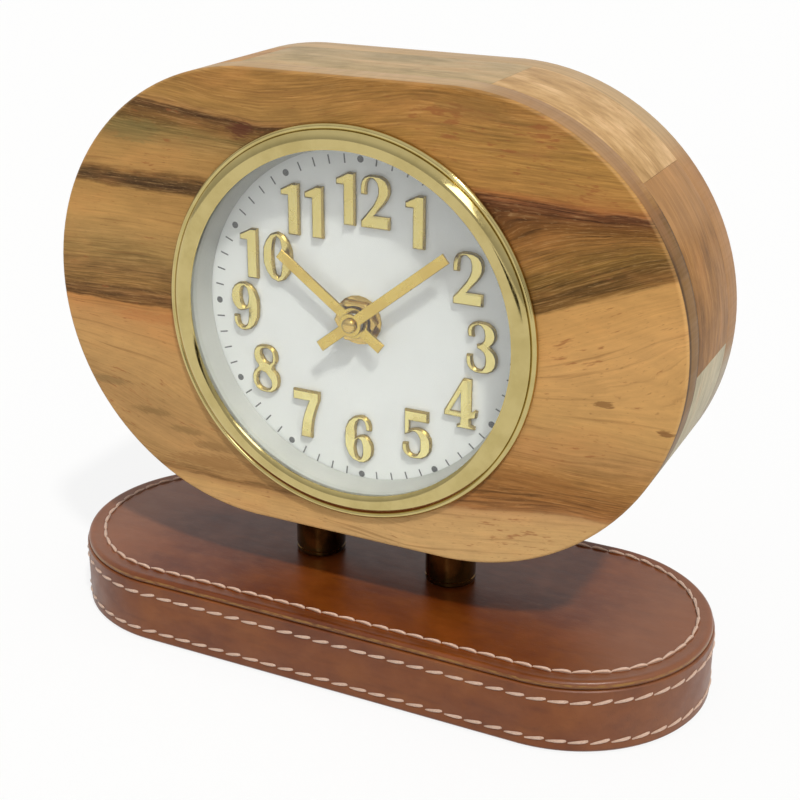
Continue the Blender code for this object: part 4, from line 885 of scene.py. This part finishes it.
dial = {
    "steps": 240, "hole": 4.3 * mm, "edge": 0.15 * mm, "paint": ("#dcdfdb", "#d8dbd7"),
    "markCircle": 45.4 * mm, "dotRadius": 0.95 * mm, "markLength": 2.5 * mm, "markWidth": 0.42 * mm,
    "printThick": 0.04 * mm, "printShift": (0.6 * mm, -0.9 * mm),   # the print lies a little off the middle
    "printEdge": 0.012 * mm, "ink": ("#4c4e4d", "#5a5c5a", (0.5, 0.6)),
}
rim = {
    "mouth": 48.75 * mm, "lipMiddle": 48.85 * mm, "lipRound": 0.25 * mm, "foot": 47.2 * mm,
    "footEdge": (0.05 * mm, 0.2 * mm),
    # The rim is white plastic; its grey tint is painted shade
    "plastic": {"tint": "#a5a7a0", "shade": "#9d9f98", "gloss": (0.5, 0.6), "relief": 0.002},
}
glassEdge = 0.2 * mm
bezel = {
    "opening": 48.4 * mm, "lipBack": 1.5 * mm, "lipThick": 0.22 * mm,
    "bandMiddle": 50.9 * mm, "bandRound": 4.45 * mm, "crest": 2.55 * mm, "bandSweep": (124, 52),
    "groove": 53.78 * mm, "grooveHeight": 1.15 * mm, "grooveWall": (0.08 * mm, 0.1 * mm),
    "beadMiddle": 54.5 * mm, "beadRound": 0.86 * mm, "beadDrop": 0.42 * mm, "beadFoot": 0.3 * mm,
    "skirtOuter": 51.3 * mm, "skirtInner": 50.6 * mm, "skirtDepth": 8.1 * mm,
    "brass": {"tint": "#c4b37a", "tarnish": "#a29054", "worn": 0.35, "grit": (1.5, 1.5, 1.5),
              "gloss": (0.06, 0.1), "relief": 0.0004},
}


def roundBox(node):
    # A round node's radius, and its back and front along the dial's axis, from the case's front face
    low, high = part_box(node)
    return (high.x - low.x) / 2, frontFace - high.y, frontFace - low.y


def onDial(name, profile):
    return turnedPiece(name, profile, dialMiddle, frontAxis, dial["steps"])


def buildDial():
    radius, back, face = roundBox("dial_plate")
    hole, edge = dial["hole"], dial["edge"]
    plate = onDial("dialPlate", [(hole, face), (radius - edge, face), (radius, face - edge), (radius, back),
                                 (hole, back), (hole, face)])
    finishPiece(plate, paintedMetal("satinWhiteDial", *dial["paint"]), "clock", "dial_white", "dial_plate")

    radius, foot, head = roundBox("dial_rim")
    narrow, low = rim["footEdge"]
    profile = [(radius, foot), (radius, head), (rim["mouth"], head)]
    profile += arc((rim["lipMiddle"], head - rim["lipRound"]), rim["lipRound"], 90, 180, 3)[1:]
    profile += [(rim["foot"] + narrow, foot + low), (rim["foot"], foot), (radius, foot)]
    finishPiece(onDial("dialRim", profile), moulded("whiteStyrene", **rim["plastic"]), "clock", "rim_white",
                "dial_rim")

    radius, back, front = roundBox("crystal")
    glass = onDial("crystalGlass", [(0, back), (radius - glassEdge, back), (radius, back + glassEdge),
                                    (radius, front - glassEdge), (radius - glassEdge, front), (0, front)])
    bpy.ops.mesh.delete_loose()
    finishPiece(glass, clearGlass("floatGlass"), "clock", "crystal", "crystal")


def buildBezel():
    # From the lip over the glass outwards: a convex band, a groove, a bead, and the skirt in the board's bore
    opening, lip, groove, high = bezel["opening"], bezel["lipBack"], bezel["groove"], bezel["grooveHeight"]
    across, up = bezel["grooveWall"]
    foot, skirt = bezel["beadFoot"], -bezel["skirtDepth"]
    profile = [(opening, lip), (opening, lip + bezel["lipThick"] / 2)]
    profile += arc((bezel["bandMiddle"], bezel["crest"] - bezel["bandRound"]), bezel["bandRound"],
                   *bezel["bandSweep"], 22)
    profile += [(groove - across, high + up), (groove, high)]
    profile += arc((bezel["beadMiddle"], high - bezel["beadDrop"]), bezel["beadRound"], 140, 0, 12)
    profile += [(profile[-1][0], foot), (bezel["skirtOuter"], foot), (bezel["skirtOuter"], skirt),
                (bezel["skirtInner"], skirt), (bezel["skirtInner"], lip), (opening, lip)]
    finishPiece(onDial("bezelRing", profile), metal("polishedBrass", **bezel["brass"]), "clock",
                "polished_brass", "bezel")


def printDial():
    # Twelve dots and forty-eight minute marks, screen printed in dark grey
    ink = paintedMetal("greyPrintingInk", *dial["ink"])
    thick, (right, up) = dial["printThick"], dial["printShift"]
    face = Vector((right, dialLow.y, dialMiddle.z + up))
    dots, marks = [], []
    for minute in range(60):
        turn = math.radians(6 * minute)
        spot = face + Vector((math.sin(turn), 0, math.cos(turn))) * dial["markCircle"]
        spot.y -= thick / 2
        bpy.ops.object.select_all(action="DESELECT")
        if minute % 5 == 0:
            bpy.ops.mesh.primitive_cylinder_add(vertices=32, radius=dial["dotRadius"], depth=thick,
                                                location=spot, rotation=(math.pi / 2, 0, 0))
            dots.append(bpy.context.object)
        else:
            bpy.ops.mesh.primitive_cube_add(size=1, location=spot, rotation=(0, turn, 0),
                                            scale=(dial["markWidth"], thick, dial["markLength"]))
            marks.append(bpy.context.object)
        bpy.ops.object.mode_set(mode="EDIT")
        bpy.ops.mesh.select_all(action="SELECT")
        bpy.ops.mesh.bevel(offset=dial["printEdge"], segments=1)
        bpy.ops.object.mode_set(mode="OBJECT")
    finishPiece(joinPieces("hourDots", dots), ink, "clock", "dial_white")
    finishPiece(joinPieces("minuteMarks", marks), ink, "clock", "dial_white")


buildDial()
buildBezel()
printDial()
print("dial done")


# Numerals, hands and the fixings on the dial, from the CAD's own outlines with their edges worked

dialMetal = {
    "numeralEdge": 0.42 * mm, "handEdge": 0.12 * mm, "nutEdge": 0.25 * mm, "washerEdge": 0.12 * mm,
    "capRim": 0.3 * mm, "capSteps": 48,
    # low and high: the face's gold at the foot and the top of the dial, where the darker top is painted shade
    "numeralGold": {"low": "#ece199", "high": "#d0c078", "tarnish": "#d6bf68", "side": "#ae9752",
                    "gloss": (0.2, 0.3)},
    "handGold": {"low": "#dabe62", "high": "#d3ba62", "tarnish": "#c9a84c", "side": "#a08644",
                 "gloss": (0.22, 0.32)},
    "brass": {"tint": "#d3b566", "tarnish": "#a08040", "worn": 0.5, "grit": (0.8, 0.8, 0.8),
              "gloss": (0.12, 0.22), "relief": 0.001},
}


def workedCopy(node, name, edge, segments=1):
    # A copy of a node, welded, flat faces merged, with the rim of its front face rounded
    piece = copyOf(nodes[node], name)
    selectOnly(piece)
    bpy.ops.object.mode_set(mode="EDIT")
    bpy.ops.mesh.select_all(action="SELECT")
    bpy.ops.mesh.remove_doubles(threshold=0.3 * edge)
    bpy.ops.mesh.dissolve_limited(angle_limit=math.radians(2), delimit=set())
    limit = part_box(node)[0].y + 0.02 * mm
    pick(piece, "edges", lambda e: all(v.co.y < limit for v in e.verts)
         and any(abs(f.normal.y) < 0.5 for f in e.link_faces))
    bpy.ops.mesh.bevel(offset=edge, segments=segments, profile=0.5, clamp_overlap=False)
    return piece


def buildDialMetal(brass):
    gold = cutPlate("satinGoldPlate", dialMetal["numeralGold"])
    for node in sorted(n for n in nodes if n.startswith("numeral_")):
        name = "numeral" + node.removeprefix("numeral").title().replace("_", "")
        finishPiece(workedCopy(node, name, dialMetal["numeralEdge"]), gold, "clock", "numeral_gold", node)
    gold = cutPlate("brushedGoldPlate", dialMetal["handGold"])
    for node, body in (("minute_hand", "minute_arbor"), ("hour_hand", "hour_pipe")):
        piece = workedCopy(node, node.replace("_h", "H"), dialMetal["handEdge"])
        finishPiece(piece, gold, body, "hand_gold", node)

    radius, foot, head = roundBox("hand_cap")
    lip = foot + dialMetal["capRim"]
    turns = [math.radians(angle) for angle in range(10, 91, 10)]
    dome = [(radius * math.cos(t), lip + (head - lip) * math.sin(t)) for t in turns]
    cap = turnedPiece("handCap", [(0, foot), (radius, foot), (radius, lip)] + dome, dialMiddle, frontAxis,
                      dialMetal["capSteps"])
    bpy.ops.mesh.delete_loose()
    finishPiece(cap, brass, "minute_arbor", "hand_gold", "hand_cap")
    nut = workedCopy("hex_nut", "hexNut", dialMetal["nutEdge"], 2)
    finishPiece(nut, brass, "clock", "brass", "hex_nut")
    washer = workedCopy("brass_washer", "brassWasher", dialMetal["washerEdge"], 2)
    finishPiece(washer, brass, "clock", "brass", "brass_washer")


turnedBrass = metal("turnedBrass", **dialMetal["brass"])
buildDialMetal(turnedBrass)
print("hands done")


# The works and fixings, which keep the CAD's shapes

worksMetals = {
    "zincPlatedSteel": {"tint": "#b9babb", "tarnish": "#8f8e88", "worn": 0.5, "grit": (1.5, 1.5, 1.5),
                        "gloss": (0.25, 0.4), "relief": 0.003},
    "electricalSteel": {"tint": "#96979a", "tarnish": "#6f6e6c", "worn": 0.5, "grit": (6, 0.3, 6),
                        "gloss": (0.35, 0.5), "relief": 0.004},
    "nickelPlatedSteel": {"tint": "#cfccc2", "tarnish": "#a9a495", "worn": 0.4, "grit": (4, 4, 0.3),
                          "gloss": (0.18, 0.3), "relief": 0.002},
    "enamelledCopperWire": {"tint": "#c06a35", "tarnish": "#7d3d1c", "worn": 0.6, "grit": (0.12, 6, 6),
                            "gloss": (0.25, 0.35), "relief": 0.05},
}
worksPlastics = {
    "blackRubber": {"tint": "#211f1e", "shade": "#2c2a28", "gloss": (0.7, 0.85), "relief": 0.02},
    "blackPolystyrene": {"tint": "#1d1d1e", "shade": "#262627", "gloss": (0.38, 0.52), "relief": 0.012},
    "greyPolystyrene": {"tint": "#3c3c3d", "shade": "#474748", "gloss": (0.35, 0.5), "relief": 0.01},
    "whiteAcetal": {"tint": "#e4e0d2", "shade": "#d8d3c2", "gloss": (0.35, 0.45), "relief": 0.004},
    "bondedFerrite": {"tint": "#35322f", "shade": "#4a4540", "gloss": (0.5, 0.65), "relief": 0.01},
}
dressed = {      # the CAD nodes that take each of these finishes
    "zincPlatedSteel": ("base_bolt_left", "base_bolt_right"), "electricalSteel": ("stator",),
    "nickelPlatedSteel": ("battery_contact_positive", "battery_contact_negative"),
    "enamelledCopperWire": ("coil",), "blackRubber": ("rubber_washer",),
    "blackPolystyrene": ("movement_front_shell", "movement_rear_shell"), "greyPolystyrene": ("set_knob",),
    "whiteAcetal": ("hour_wheel", "minute_wheel", "centre_wheel", "third_wheel"), "bondedFerrite": ("rotor",),
}


def dress(material, *names):
    for name in names:
        nodes[name].data.materials.clear()
        nodes[name].data.materials.append(material)


def dressWorks():
    for make, looks in ((metal, worksMetals), (moulded, worksPlastics)):
        for finish, look in looks.items():
            dress(make(finish, **look), *dressed[finish])
    dress(turnedBrass, "case_insert_left", "case_insert_right", "threaded_bushing")
    dress(paintedMetal("greenSolderMask", "#1f5a38", "#2b6b45", (0.3, 0.45)), "circuit_board")
    dress(cellSleeve("drySleeve"), "battery")
    dress(acacia("acaciaCoreBoard", {**caseTones, **coreLook}), "base_core")


dressWorks()
print("works done")


# Light, floor and camera

studio = {
    "sunTurn": 45, "sunHeight": 55, "sunPower": 2.0, "sunSize": 4,     # degrees round from the front, and up
    "sunTint": (1.0, 0.985, 0.96),
    "skyBack": 0.5, "skyFront": 0.52, "skyTop": 0.68,            # what lights the object
    "mirrorFront": 0.5, "mirrorTop": 0.8, "mirrorBack": 0.75,    # what polished metal sees of the room
    # Cards seen only in reflections: name, place, width and height, degrees of tilt, colour, strength
    "cards": (("darkCard", (0.12, -0.62, 0.02), (0.3, 0.1), 0, "#3f3717", 0.6),
              ("whiteCard", (0.24, -0.62, 0.55), (0.11, 0.68), 36, "#ffffff", 5.0)),
    "floorSize": 12, "floorTint": "#d8d8d6",
    "floorWhite": 1.05, "floorShare": 0.8,     # the white that the camera sees in the floor, over its shadows
}
view = {"target": (16.287 * mm, -23.75 * mm, 86.25 * mm), "turn": 25.787, "height": 22.161, "roll": 0.337,
        "distance": 398.371 * mm, "lens": 66.6035, "film": 36, "nearest": 0.01}


def fromAngles(turn, height):
    # The direction towards a lamp or camera, turned from the front to the right, and raised
    turn, height = math.radians(turn), math.radians(height)
    return Vector((math.sin(turn) * math.cos(height), -math.cos(turn) * math.cos(height), math.sin(height)))


def buildSun():
    out = fromAngles(studio["sunTurn"], studio["sunHeight"])
    bpy.ops.object.light_add(type="SUN", location=out)
    sun = bpy.context.object
    sun.rotation_euler = out.to_track_quat("Z", "Y").to_euler()
    sun.data.energy = studio["sunPower"]
    sun.data.angle = math.radians(studio["sunSize"])
    sun.data.color = studio["sunTint"]


def buildFloor():
    bpy.ops.mesh.primitive_plane_add(size=studio["floorSize"], location=origin)
    floor = bpy.context.object
    floor.name = "studioFloor"
    material, add = blankMaterial("paleFloor")
    rays = add("LightPath", out=None).outputs
    seen = add("Math", rays["Is Camera Ray"], rays["Is Glossy Ray"], operation="MAXIMUM")
    seen = add("Math", seen, rays["Is Transmission Ray"], operation="MAXIMUM")
    paint = add("BsdfDiffuse", studio["floorTint"])
    white = add("Emission", "#ffffff", studio["floorWhite"])
    add("OutputMaterial", add("MixShader", add("Math", seen, studio["floorShare"], **times), paint, white))
    floor.data.materials.append(material)


def buildCards():
    for name, place, (width, height), tilt, tint, strength in studio["cards"]:
        turn = (math.pi / 2, math.radians(tilt), 0)
        bpy.ops.mesh.primitive_plane_add(size=1, location=place, rotation=turn)
        card = bpy.context.object
        card.scale = (width, height, 1)
        card.name = name
        card.visible_camera = card.visible_diffuse = card.visible_transmission = card.visible_shadow = False
        material, add = blankMaterial(name)
        add("OutputMaterial", add("Emission", tint, strength))
        card.data.materials.append(material)


def buildRoom():
    # White to the camera, softly graded light for the object, and a room of its own for polished metal
    world = bpy.data.worlds.new("studioRoom")
    bpy.context.scene.world = world
    world.use_nodes = True
    world.node_tree.nodes.clear()
    add = partial(addNode, world.node_tree)
    rays = add("LightPath", out=None).outputs
    glossy = rays["Is Glossy Ray"]
    way = add("SeparateXYZ", add("TexCoord", out="Generated"), out=None).outputs
    front = add("MapRange", way["Z"], 0.1, 0.8, studio["skyFront"], studio["skyTop"], **soft)
    mirror = add("MapRange", way["Z"], 0.0, 0.6, studio["mirrorFront"], studio["mirrorTop"], **soft)
    front = add("MapRange", glossy, 0.0, 1.0, front, mirror)
    back = add("MapRange", rays["Is Transmission Ray"], 0.0, 1.0, studio["skyBack"], 1.0)
    back = add("MapRange", glossy, 0.0, 1.0, back, studio["mirrorBack"])
    level = add("MapRange", way["Y"], -0.15, 0.1, front, back, **soft)
    level = add("Math", level, rays["Is Camera Ray"], operation="MAXIMUM")
    add("OutputWorld", add("Background", "#ffffff", level))


def buildCamera():
    out = fromAngles(view["turn"], view["height"])
    bpy.ops.object.camera_add(location=Vector(view["target"]) + out * view["distance"])
    camera = bpy.context.object
    facing = out.to_track_quat("Z", "Y").to_matrix() @ Matrix.Rotation(math.radians(view["roll"]), 3, "Z")
    camera.rotation_euler = facing.to_euler()
    camera.data.lens = view["lens"]
    camera.data.sensor_width = view["film"]
    camera.data.clip_start = view["nearest"]
    bpy.context.scene.camera = camera


bpy.ops.object.select_all(action="DESELECT")
buildSun()
buildFloor()
buildCards()
buildRoom()
buildCamera()
bpy.context.scene.view_settings.view_transform = "Standard"
print("studio done")
